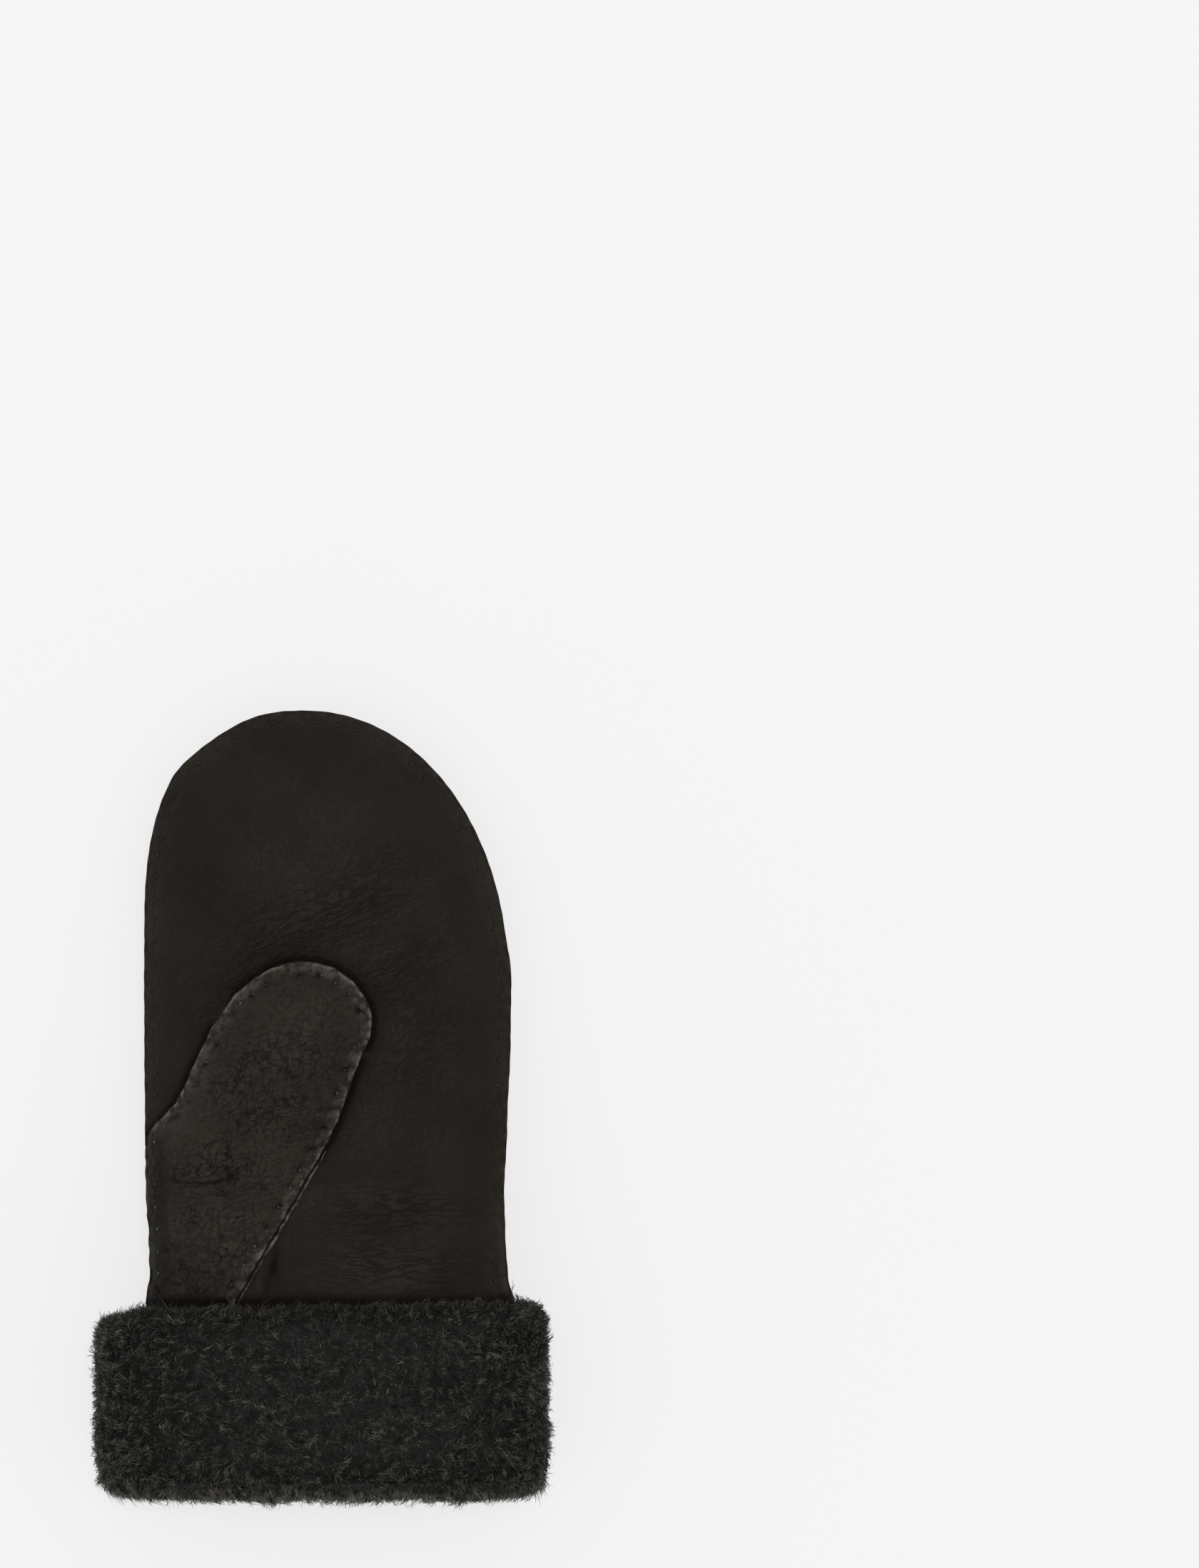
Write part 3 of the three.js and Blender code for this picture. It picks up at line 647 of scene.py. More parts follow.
@dataclass(frozen=True)
class Crease:
    """One crease along a curve through a few points."""

    points: tuple
    wide: float
    depth: float

    def depth_at(self, x: np.ndarray, y: np.ndarray) -> np.ndarray:
        """Find the crease's depth.

        Args:
            x: Places across.
            y: Places over the cuff.

        Returns:
            The greatest of the bells round the curve's points, lower toward both of its ends.
        """
        path = spline(np.array(self.points), 10)
        depth = self.depth * (0.25 + 0.75 * np.sin(math.pi * np.linspace(0, 1, len(path))))
        away = np.hypot(x[..., None] - path[:, 0], y[..., None] - path[:, 1])
        return (depth * bell(away, self.wide)).max(axis=-1)


# Each patch: x, y, run, width, degrees from X, strength, kind. Each crease: points, width, depth.
PALM_WRINKLES = (
    Wrinkles(-2, 124, 46, 14, 28, 1.0, Grain.SLANT),
    Wrinkles(-20, 104, 34, 12, 30, 0.9, Grain.SLANT),
    Wrinkles(24, 106, 30, 12, 32, 0.85, Grain.SLANT),
    Wrinkles(34, 84, 24, 16, 14, 0.6, Grain.SLANT),
    Wrinkles(25, 28, 28, 10, 3, 1.0, Grain.LEVEL),
    Wrinkles(26, 12, 30, 9, -4, 0.9, Grain.LEVEL),
    Wrinkles(0, 96, 80, 120, 24, 0.3, Grain.NET),
)
PALM_CREASES = (
    Crease(((-15.6, 19.5), (-17.4, 9.0), (-19.6, -3.5)), 1.0, 1.4),
    Crease(((53.0, 22.0), (55.0, 8.0), (56.0, -3.0)), 1.6, 0.5),
)
BACK_WRINKLES = (
    Wrinkles(0, 90, 60, 70, 0, 0.35, Grain.NET),
    Wrinkles(0, 20, 60, 18, 0, 0.8, Grain.LEVEL),
    Wrinkles(10, 70, 50, 14, 12, 0.5, Grain.SLANT),
)
THUMB_WRINKLES = (
    Wrinkles(-20, 64, 24, 30, 0, 0.9, Grain.NET),
    Wrinkles(-8, 88, 24, 18, 0, 0.65, Grain.NET),
    Wrinkles(-44, 4, 24, 18, 0, 0.6, Grain.NET),
    Wrinkles(-28, 44, 26, 12, 4, 1.0, Grain.NET),
    Wrinkles(-38, 22, 24, 26, 0, 0.7, Grain.NET),
    Wrinkles(-36, 40, 22, 8, 2, 0.8, Grain.LEVEL),
)
THUMB_CREASES = (
    Crease(
        ((-57.0, 43.6), (-53.0, 40.4), (-45.0, 38.2), (-36.0, 38.4), (-28.0, 41.6), (-21.0, 45.4)),
        0.8, 0.95,
    ),
    Crease(((-47.0, 35.6), (-40.0, 34.6), (-31.0, 35.6), (-24.0, 38.4)), 0.7, 0.5),
    Crease(((-50.0, 42.4), (-44.0, 41.2), (-37.0, 43.0), (-31.0, 46.0)), 0.7, 0.4),
    Crease(((-36.0, 38.6), (-28.0, 39.4), (-19.0, 39.8)), 0.8, 0.35),
    Crease(((-44.0, 46.6), (-36.0, 45.0), (-29.0, 47.6)), 0.8, 0.3),
    Crease(((-57.6, 9.5), (-55.0, 2.6), (-50.5, -3.5)), 1.1, 1.3),
    Crease(((-33.0, 8.5), (-36.0, 2.0), (-37.0, -4.0)), 1.2, 0.3),
    Crease(((-18.0, 55.0), (-14.0, 61.0), (-13.0, 69.0)), 1.0, 0.25),
    Crease(((-12.0, 52.0), (-9.0, 58.0), (-8.0, 66.0)), 1.0, 0.22),
)


@dataclass(frozen=True)
class Stitching:
    """The running stitch along a margin and how it draws the hide in."""

    pitch: float = STITCH_PITCH
    inset: float = 3.9
    hole: float = 0.3
    pull: float = 0.16
    groove: float = 0.02
    puff: float = 0.06
    draw: float = 0.1
    sunk_edge: float = 0.08
    thread: float = 0.24
    length: float = 1.2
    arch: float = 0.42
    lifted: float = 0.02
    # millimetres that a stitch is out of place, and radians to a millimetre of the edge
    sway: tuple = ((0.8, 0.43), (0.25, 1.1))
    sway_from: float = 9.0
    hole_width: float = 0.95

    def count(self, along: np.ndarray) -> np.ndarray:
        """Return how many stitches there are up to each row, by hand and so a little uneven."""
        uneven = sum(out * np.sin(along * wave) for out, wave in self.sway)
        return (along + uneven * np.minimum(along / self.sway_from, 1)) / self.pitch

    def tightness(self, along: np.ndarray) -> np.ndarray:
        """Return 1 at each stitch and 0 halfway to the next."""
        return 0.5 + 0.5 * np.cos(2 * math.pi * self.count(along))

    def offset(self, along: np.ndarray) -> np.ndarray:
        """Return the distance to the nearest stitch, for rows of a grid."""
        count = self.count(along)
        return ((count - np.round(count)) * self.pitch)[:, None]

    def inset_at(self, along: np.ndarray) -> np.ndarray:
        """Return how far in the stitch line runs, wandering a little."""
        return (self.inset + 0.3 * np.sin(along * 0.9 + 1))[:, None]

    def holes(self, along: np.ndarray, inward: np.ndarray) -> np.ndarray:
        """Return 1 in each stitch hole, falling off round it."""
        deep = (0.78 + 0.34 * np.sin(along * 0.61 + 2))[:, None] * bell(self.offset(along), self.hole_width)
        return deep * bell(inward - self.inset_at(along), self.hole_width)

    def shape(self, along: np.ndarray, inward: np.ndarray) -> np.ndarray:
        """Find the height that sewing adds to a margin.

        Args:
            along: Distance along the edge for each row of a grid.
            inward: Distance from the edge for each point of the grid.

        Returns:
            Heights: a puffed rim, less a groove on the stitch line, holes, and a pull across
            the margin at each stitch.
        """
        loose = 1 - self.tightness(along)[:, None]
        rim = np.sin(math.pi * np.clip(inward / (self.inset + 0.6), 0, 1) ** 0.8)
        inside = bell(inward - self.inset - 2.4, 1.6)
        puff = self.puff * rim * (0.4 + 0.6 * loose) + 0.4 * self.puff * loose * inside
        pull = self.pull * bell(self.offset(along), 1.5) * bell(inward - self.inset + 0.2, 2.6)
        groove = self.groove * bell(inward - self.inset, 0.8)
        edge = self.sunk_edge * (1 - smooth(inward, 0.0, 0.8))
        return puff - pull - groove - edge - self.hole * self.holes(along, inward)

    def places(self, along: np.ndarray) -> np.ndarray:
        """Return the rows of a grid at which a stitch sits."""
        count = self.count(along)
        return np.searchsorted(count, np.arange(1, int(count[-1])))


@dataclass
class Panel:
    """A sewn panel's surface: a margin and a round rise to the middle line."""

    edge: np.ndarray
    spine: np.ndarray
    hand: HandForm
    stitching: Stitching
    margin_rings: int = 9
    rings: int = 60
    up: bool = True
    ease: float | np.ndarray = 0.88
    rim: float = 0.4
    closer: float = 1.35
    sewn: tuple = (8.0, 11.0)
    edge_share: float = 0.62
    inner_share: float = 0.3

    def __post_init__(self) -> None:
        """Lay out the grid: rings across the margin, then closer rings near it than inside."""
        away = self.spine - self.edge
        away[:, 2] = 0
        total = np.linalg.norm(away, axis=1)[:, None]
        self.along = run_length(self.edge)
        drawn = self.stitching.draw * self.stitching.tightness(self.along)[:, None]
        margin = self.hand.margin
        across = np.linspace(0, 1, self.margin_rings + 1)[None]
        share = ((np.arange(self.rings) + 1) / self.rings)[None] ** self.closer
        self.inward = np.hstack([drawn + (margin - drawn) * across, margin + (total - margin) * share])
        self.grid = self.edge[:, None] + unit(away)[:, None] * self.inward[..., None]
        full = self.hand.fullness(self.grid[..., 1])
        climb = self.hand.rise(self.inward, total, full, self.ease)
        self.grid[..., 2] += (self.spine - self.edge)[:, None, 2] * climb

    def press(self, depth: np.ndarray) -> None:
        """Push the surface in by depth along its own facing."""
        self.grid = self.grid - grid_normals(self.grid, self.up) * depth[..., None]

    def sew(self, stitching: Stitching | None = None, weight: float | np.ndarray = 1.0) -> None:
        """Shape the margin as the stitches draw it.

        Args:
            stitching: The stitches, or None for the panel's own.
            weight: How much of their effect to add, for the whole panel or for each row.
        """
        fade = weight * (1 - smooth(self.inward, *self.sewn))
        height = (stitching or self.stitching).shape(self.along, self.inward) * fade
        self.grid[..., 2] += height if self.up else -height

    def skin(self, marks: dict[str, np.ndarray]) -> Skin:
        """Weld the surface and mark its pale cut edge.

        Args:
            marks: Other numbers for each point of the grid.

        Returns:
            The surface, with a rim mark that falls off over an uneven width and again further in.
        """
        width = 1.5 + 0.9 * ripple(self.along / 5.0, self.along * 0, 71)[:, None]
        bare = self.edge_share * (1 - smooth(self.inward, 0.3, width))
        bare = bare + self.inner_share * (1 - smooth(self.inward, 2.2, 5.4))
        return Skin.from_grid(self.grid, self.up, marks | {"rim": self.rim * bare})

    def threads(self) -> np.ndarray:
        """Find where the stitches sit.

        Returns:
            For each stitch its middle, its direction and its facing, as one array.
        """
        rows = np.clip(self.stitching.places(self.along), 1, len(self.grid) - 2)
        away = np.abs(self.inward[rows] - self.stitching.inset_at(self.along)[rows])
        column = away.argmin(axis=1)
        normal = grid_normals(self.grid, self.up)[rows, column + 1]
        normal = unit(normal + np.array([0, 0, 2.0 if self.up else -2.0]))
        run = unit(self.grid[rows + 1, column] - self.grid[rows - 1, column])
        return np.stack([self.grid[rows, column], run, normal], axis=1)


def thread_skin(stitches: np.ndarray, stitching: Stitching) -> Skin:
    """Make a short arched bead of thread at each stitch.

    Args:
        stitches: Middle, direction and facing of each.
        stitching: Length and thickness of the thread.

    Returns:
        All of the beads: a circle carried along an arch, closed to a point at both ends.
    """
    rings, sides = 7, 6
    middle, run, normal = stitches[:, 0], stitches[:, 1], stitches[:, 2]
    side = np.cross(run, normal)
    t = np.linspace(0, 1, rings)
    turn = np.linspace(0, 2 * math.pi, sides, endpoint=False)
    thick = stitching.thread * np.sqrt(np.clip(1 - (2 * t - 1) ** 2, 0, 1))
    along = stitching.length * (t - 0.5)
    arch = stitching.arch * np.sin(math.pi * t) + stitching.lifted
    ring = thick[:, None] * np.cos(turn), arch[:, None] + thick[:, None] * np.sin(turn)
    points = (
        middle[:, None, None]
        + run[:, None, None] * along[None, :, None, None]
        + side[:, None, None] * ring[0][None, ..., None]
        + normal[:, None, None] * ring[1][None, ..., None]
    )
    index = np.arange(points[..., 0].size).reshape(points.shape[:3])
    after = np.roll(index, -1, axis=2)
    corners = (index[:, :-1], after[:, :-1], after[:, 1:], index[:, 1:])
    faces = np.stack(corners, axis=-1).reshape(-1, 4)
    return Skin.welded(points.reshape(-1, 3), faces, {}, 4)


# The pieces

def hand_outline(hand: HandForm, pitch: float) -> tuple[np.ndarray, np.ndarray]:
    """Trace the outline of the hand, evenly spaced.

    Args:
        hand: The sizes of the hand.
        pitch: Spacing along the edge.

    Returns:
        X and Y of the edge up the near side, round the end and down the far side, and X and Y of
        the point of the middle line that each place faces.
    """
    rows = round((hand.spine_top - hand.fold) / pitch)
    y = np.linspace(hand.fold + hand.gap, hand.spine_top, rows, endpoint=False)
    near, far = hand.edge(y, Side.NEAR), hand.edge(y, Side.FAR)
    middle = np.column_stack([(near + far) / 2, y])
    turn = np.linspace(0, math.pi, FINE_TURNS)
    end_y = hand.spine_top + (hand.length - hand.spine_top) * np.sin(turn) ** 0.85
    near_end, far_end = hand.edge(end_y, Side.NEAR), hand.edge(end_y, Side.FAR)
    end = np.column_stack([np.where(turn < math.pi / 2, near_end, far_end), end_y])
    run = run_length(end)
    even = np.linspace(0, run[-1], round(run[-1] / pitch) + 1)
    end = np.column_stack([np.interp(even, run, end[:, 0]), np.interp(even, run, end[:, 1])])
    pole = np.array([(end[0, 0] + end[-1, 0]) / 2, hand.spine_top])
    sides = np.column_stack([near, y]), np.column_stack([far, y])[::-1]
    edge = np.vstack([sides[0], end, sides[1]])
    return edge, np.vstack([middle, np.tile(pole, (len(end), 1)), middle[::-1]])


def crease_depth(grid: np.ndarray, creases: tuple) -> np.ndarray:
    """Find how deep the creases are.

    Args:
        grid: Points of a panel.
        creases: The creases.

    Returns:
        Their depths added up at each point, read a little aside of it and uneven by noise.
    """
    x, y = grid[..., 0], grid[..., 1]
    bent = x + 0.5 * ripple(x / 5, y / 5, 81), y + 0.5 * ripple(x / 5, y / 5, 82)
    depth = sum(crease.depth_at(*bent) for crease in creases)
    return depth * (0.9 + 0.4 * ripple(x / 3.2, y / 3.2, 83))


def painted_shade_under_wool(grid: np.ndarray) -> np.ndarray:
    """Return the painted shade that the wool's edge casts on the hide: rising over the last few millimetres.
    """
    return 0.85 * (1 - smooth(grid[..., 1], -1.0, 4.5))


def blank_marks(grid: np.ndarray) -> dict[str, np.ndarray]:
    """Return zeros for all the marks that the hide's finish reads, apart from its cut edge."""
    return {name: np.zeros(grid.shape[:2]) for name in (*(grain.value for grain in Grain), "crease")}


def wrinkle_marks(grid: np.ndarray, patches: tuple) -> dict[str, np.ndarray]:
    """Find how strongly each kind of fine wrinkle shows.

    Args:
        grid: Points of a panel.
        patches: The soft-edged patches of wrinkles.

    Returns:
        For each kind its strength at each point of the grid, from 0 to 1, and the crease mark, which carries
        painted shade, at zero.
    """
    marks = blank_marks(grid)
    for patch in patches:
        strength = patch.strength_at(grid[..., 0], grid[..., 1])
        marks[patch.grain.value] = np.maximum(marks[patch.grain.value], strength)
    return marks


@dataclass
class Piece:
    """What each piece of the mitten shares: its name, the node it stands for and its finish."""

    place: Place
    hand: HandForm
    stitching: Stitching

    def dress(self, skin: Skin, name: str, node: str, finish: "Finish", wall: float = 0.0) -> None:
        """Make the mesh, give it a wall and a finish, hang it on the root body and hide the solid that it
        replaces.

        Args:
            skin: The surface.
            name: Name of the object.
            node: The solid that it replaces.
            finish: Its material.
            wall: Thickness of the wall that is added on the inside, or 0 for none.
        """
        piece = skin.to_object(name, self.place)
        piece.data.materials.append(finish.material())
        if wall:
            solidify = piece.modifiers.new("wall", "SOLIDIFY")
            solidify.thickness = wall * MM
            solidify.offset = -1.0
            solidify.use_even_offset = False
        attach(piece, "root")
        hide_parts(node)
        LOG.info("%s: %d faces", name, len(skin.faces))

    def stitch(
        self, panel: Panel, name: str, node: str, thread: "Finish", near_from: float = STITCHES_FROM
    ) -> None:
        """Put a bead of thread at each stitch that shows above the wool.

        Args:
            panel: The sewn panel.
            name: Name of the object.
            node: The solid whose stitches they are.
            thread: Finish of the thread.
            near_from: Height over the cuff from which the near side shows its stitches.
        """
        stitches = panel.threads()
        x, y = stitches[:, 0, 0], stitches[:, 0, 1]
        shown = (y > STITCHES_FROM) & ((x > 0) | (y > near_from))
        self.dress(thread_skin(stitches[shown], self.stitching), name, node, thread)


@dataclass
class Palm(Piece):
    """The palm's panel and the back of the thumb, a tongue of the same hide."""

    thumb: ThumbForm
    pitch: float = STITCH_PITCH / 7
    rings: int = 58
    clear: float = 0.2
    shade_from: float = 46.0
    # strength of the painted shade in the creases and in the stitch holes
    crease_shade: float = 0.7
    hole_shade: float = 0.4
    # painted shadow round the thumb: its strength at the edge, a wider fainter part, and how far that reaches
    close_shadow: float = 0.55
    wide_shadow: float = 0.4
    near_reach: float = 9.0
    tongue_steps: tuple = (8, 60)
    tongue_inset: float = 2.6

    def panel(self) -> Panel:
        """Lay out the palm's grid and add its soft folds.

        Returns:
            The panel, not yet creased or sewn.
        """
        hand = self.hand
        xy, middle = hand_outline(hand, self.pitch)
        edge = np.column_stack([xy, hand.seam_height(xy[:, 1]) + hand.gap / 2 + hand.leather])
        spine = np.column_stack([middle, hand.crown_height(middle[:, 1])])
        panel = Panel(edge, spine, hand, self.stitching, rings=self.rings)
        grid = panel.grid
        half = (hand.edge(grid[..., 1], Side.FAR) - hand.edge(grid[..., 1], Side.NEAR)) / 2
        inside = smooth((panel.inward - hand.margin) / np.maximum(half, 1.0), 0.0, 0.3)
        grid[..., 2] += hand.relief(grid[..., 0], grid[..., 1]) * inside
        return panel

    def cut_out(self, skin: Skin) -> np.ndarray:
        """Find the faces over the thumb's root, which the thumb's front covers.

        Args:
            skin: The palm's surface.

        Returns:
            True for each face left of the slanting line under the thumb's seam.
        """
        thumb, inset = self.thumb, self.hand.margin + self.hand.leather
        far = thumb.seam_head()
        top = 0.96 * self.hand.crotch
        middle = skin.centres()
        up = np.clip(middle[:, 1] / top, 0, 1)
        line = thumb.seam_foot - inset + (far[0] - thumb.seam_foot) * up
        return (middle[:, 0] < line) & (middle[:, 1] < top)

    def tongue(self) -> Skin:
        """Shape the back of the thumb.

        Returns:
            Its surface, which hangs below the front's margin, just clear of the palm.
        """
        thumb, hand = self.thumb, self.hand
        ends = thumb.edges(thumb.first_loose, *self.tongue_steps)
        edge, spine, stand = ends["edge"].copy(), ends["spine"].copy(), ends["stand"]
        edge[:, 0] = np.maximum(edge[:, 0], hand.edge(edge[:, 1], Side.NEAR) + self.tongue_inset)
        bare = hand.palm_height(edge[:, 0], edge[:, 1])
        under = edge[:, 2] - 2 * hand.leather - hand.gap
        edge[:, 2] = np.where(stand > 0.02, np.maximum(under, bare + 3 * hand.gap), bare - hand.leather / 2)
        spine[:, 2] = hand.palm_height(spine[:, 0], spine[:, 1]) + 3 * hand.gap
        panel = Panel(edge, spine, hand, self.stitching, margin_rings=6, rings=14, up=False, ease=0.3)
        grid = panel.grid
        floor = hand.palm_height(grid[..., 0], grid[..., 1]) + self.clear
        grid[..., 2] = np.maximum(grid[..., 2], floor)
        return panel.skin(blank_marks(grid))

    def painted_shadow_of_thumb(self, grid: np.ndarray) -> np.ndarray:
        """Find the painted shadow that the thumb casts on the palm close by it.

        Args:
            grid: Points of the palm.

        Returns:
            Shares that fall off with the distance from the thumb's edge, none down by the seam.
        """
        rim = self.thumb.edges(0, THUMB_STEPS, TIP_STEPS)["edge"][::2, :2]
        rim = rim[rim[:, 1] > self.shade_from]
        away = np.hypot(grid[..., 0, None] - rim[:, 0], grid[..., 1, None] - rim[:, 1]).min(axis=-1)
        close = self.close_shadow * (1 - smooth(away, 0.2, 3.0))
        return close + self.wide_shadow * (1 - smooth(away, 0.0, self.near_reach))

    def build(self, finish: "Finish", thread: "Finish") -> None:
        """Make the palm with its tongue, and the stitches round its free edge.

        Args:
            finish: The hide's finish.
            thread: The thread's finish.
        """
        panel = self.panel()
        marks = wrinkle_marks(panel.grid, PALM_WRINKLES)
        depth = crease_depth(panel.grid, PALM_CREASES)
        # The crease mark is painted shade: creases, stitch holes, the hide under the wool's edge and the palm
        # round the thumb are painted darker
        marks["crease"] = np.clip(self.crease_shade * depth, 0, 1)
        panel.press(depth)
        panel.sew()
        holes = self.hole_shade * self.stitching.holes(panel.along, panel.inward)
        for shade in (holes, painted_shade_under_wool(panel.grid), self.painted_shadow_of_thumb(panel.grid)):
            marks["crease"] = np.maximum(marks["crease"], shade)
        skin = panel.skin(marks)
        skin = skin.without(self.cut_out(skin)).joined(self.tongue())
        self.dress(skin, "palm_leather", "palm_panel", finish, self.hand.leather)
        self.stitch(panel, "palm_stitches", "palm_panel", thread, self.hand.crotch + 4)


@dataclass
class Back(Piece):
    """The panel of the back of the hand, flat where it lies."""

    pitch: float = STITCH_PITCH / 6
    rings: int = 34

    def build(self, finish: "Finish", thread: "Finish") -> None:
        """Make the panel and the stitches that come out on its side.

        Args:
            finish: The hide's finish.
            thread: The thread's finish.
        """
        hand = self.hand
        xy, middle = hand_outline(hand, self.pitch)
        edge = np.column_stack([xy, hand.seam_height(xy[:, 1]) - hand.gap / 2 - hand.leather])
        side = hand.seam_height(middle[:, 1]) - hand.gap / 2 - hand.leather
        full = hand.fullness(middle[:, 1])
        low = side + (hand.floor_height(middle[:, 1]) - side) * (1.1 - 0.1 * full)
        spine = np.column_stack([middle, low])
        panel = Panel(edge, spine, hand, self.stitching, rings=self.rings, up=False)
        marks = wrinkle_marks(panel.grid, BACK_WRINKLES)
        panel.sew()
        grid = panel.grid
        grid[..., 2] = np.maximum(grid[..., 2], hand.floor_height(grid[..., 1]) + OFF_FLOOR)
        self.dress(panel.skin(marks), "back_leather", "back_panel", finish, hand.leather)
        self.stitch(panel, "back_stitches", "back_panel", thread)


@dataclass
class Thumb(Piece):
    """The thumb's front, from its round tip down over its root and into the cuff."""

    thumb: ThumbForm
    outer: Stitching
    rings: int = 46
    run: float = 210.0
    # strength of the painted shade in the creases, in the stitch holes and on the steep side by the outseam,
    # and where that last fades
    crease_shade: float = 0.85
    hole_shade: float = 0.8
    seam_shade: float = 0.6
    seam_fade: tuple = (4.0, 13.0)

    def build(self, finish: "Finish", thread: "Finish") -> None:
        """Make the panel and the stitches along its margins.

        Args:
            finish: The hide's finish.
            thread: The thread's finish.
        """
        ends = self.thumb.edges(0, THUMB_STEPS, TIP_STEPS)
        seam = ends["outseam"]
        run = np.linspace(0, 1, len(seam)) * self.run
        ragged = 0.34 * ripple(run / 4.2, run * 0, 51) + 0.16 * ripple(run / 1.6, run * 0, 52)
        inward = unit((ends["spine"] - ends["edge"])[:, :2])
        ends["edge"][:, :2] += inward * ragged[:, None] * (1 - seam)
        panel = Panel(
            ends["edge"], ends["spine"], self.hand, self.stitching,
            rings=self.rings, ease=0.6 + 0.28 * seam, rim=1 - 0.6 * seam,
        )
        marks = wrinkle_marks(panel.grid, THUMB_WRINKLES)
        depth = crease_depth(panel.grid, THUMB_CREASES)
        # The crease mark is painted shade: creases, stitch holes, the hide under the wool's edge and the
        # steep side by the outseam are painted darker
        marks["crease"] = np.clip(self.crease_shade * depth, 0, 1)
        panel.press(depth)
        panel.sew(weight=1 - seam)
        panel.sew(self.outer, seam)
        holes = self.stitching.holes(panel.along, panel.inward) ** 0.6
        holes = self.hole_shade * holes * (1 - 0.7 * seam)
        # painted shade on the steep side of the margin by the outseam
        shaded = self.seam_shade * seam * (1 - smooth(panel.inward, *self.seam_fade))
        for shade in (holes, painted_shade_under_wool(panel.grid), shaded):
            marks["crease"] = np.maximum(marks["crease"], shade)
        self.dress(panel.skin(marks), "thumb_leather", "thumb_front", finish, self.hand.leather)
        self.stitch(panel, "thumb_stitches", "thumb_front", thread)


@dataclass
class SeamEdge(Piece):
    """The palm's own cut edge, which stands up beside the thumb's edge in the slanting seam."""

    thumb: ThumbForm
    width: float = 1.5
    height: float = 1.5
    aside: float = 1.0
    below: float = -4.0
    top: float = 49.0
    rows: int = 130
    sides: int = 16

    def build(self, finish: "Finish") -> None:
        """Carry a small rounded ridge along the seam: half an oval that narrows to both ends.

        Args:
            finish: The hide's finish.
        """
        thumb, hand = self.thumb, self.hand
        head = thumb.seam_head()
        y = np.linspace(self.below, self.top, self.rows)
        seam = thumb.seam_foot + (head[0] - thumb.seam_foot) * y / head[1]
        wave = 0.42 * ripple(y / 6.0, y * 0, 41) + 0.22 * ripple(y / 1.8, y * 0, 42)
        x = seam + self.aside + wave
        ends = np.sqrt(np.clip(np.sin(math.pi * np.linspace(0, 1, len(y))), 0, 1))
        turn = np.linspace(0, 2 * math.pi, self.sides + 1)
        out = self.width / 2 * np.cos(turn)[None, :] * ends[:, None]
        uneven = (1 + 0.3 * ripple(y / 4.0, y * 0 + 3.5, 43)) * ends
        lift = self.height * np.sin(turn)[None, :] * np.where(np.sin(turn) > 0, 1.0, 0.3) * uneven[:, None]
        slope = unit(np.array([[head[1], thumb.seam_foot - head[0]]]))[0]
        across = x[:, None] + out * slope[0]
        along = y[:, None] + out * slope[1]
        base = hand.palm_height(across, along)
        grid = np.stack([across, along, base + lift], axis=-1)
        patchy = (0.9 + 0.4 * ripple(y / 3.0, y * 0 + 9, 44))[:, None]
        crest = np.clip(np.sin(turn), 0, 1)[None] ** 1.5 * patchy
        marks = blank_marks(grid) | {"rim": np.clip(crest, 0, 1)}
        self.dress(Skin.from_grid(grid, False, marks), "palm_seam_edge", "palm_panel", finish)


@dataclass(frozen=True)
class Loop:
    """One of the closed curves round the cuff: a squared oval."""

    middle: float
    half: float
    low: float
    high: float
    power: float

    def points(self, turn: np.ndarray, y: np.ndarray) -> np.ndarray:
        """Find points of the loop: cosine and sine, each to the power 2 over the loop's own.

        Args:
            turn: Angles round the loop.
            y: Heights over the cuff.

        Returns:
            A point for each angle, none of them below the floor.
        """
        c, s = np.cos(turn), np.sin(turn)
        x = self.middle + self.half * np.sign(c) * np.abs(c) ** (2 / self.power)
        lift = (self.high - self.low) / 2 * np.sign(s) * np.abs(s) ** (2 / self.power)
        z = np.maximum(0.0, (self.low + self.high) / 2 + lift)
        return np.stack([x, y + 0 * turn, z + 0 * y], axis=-1)


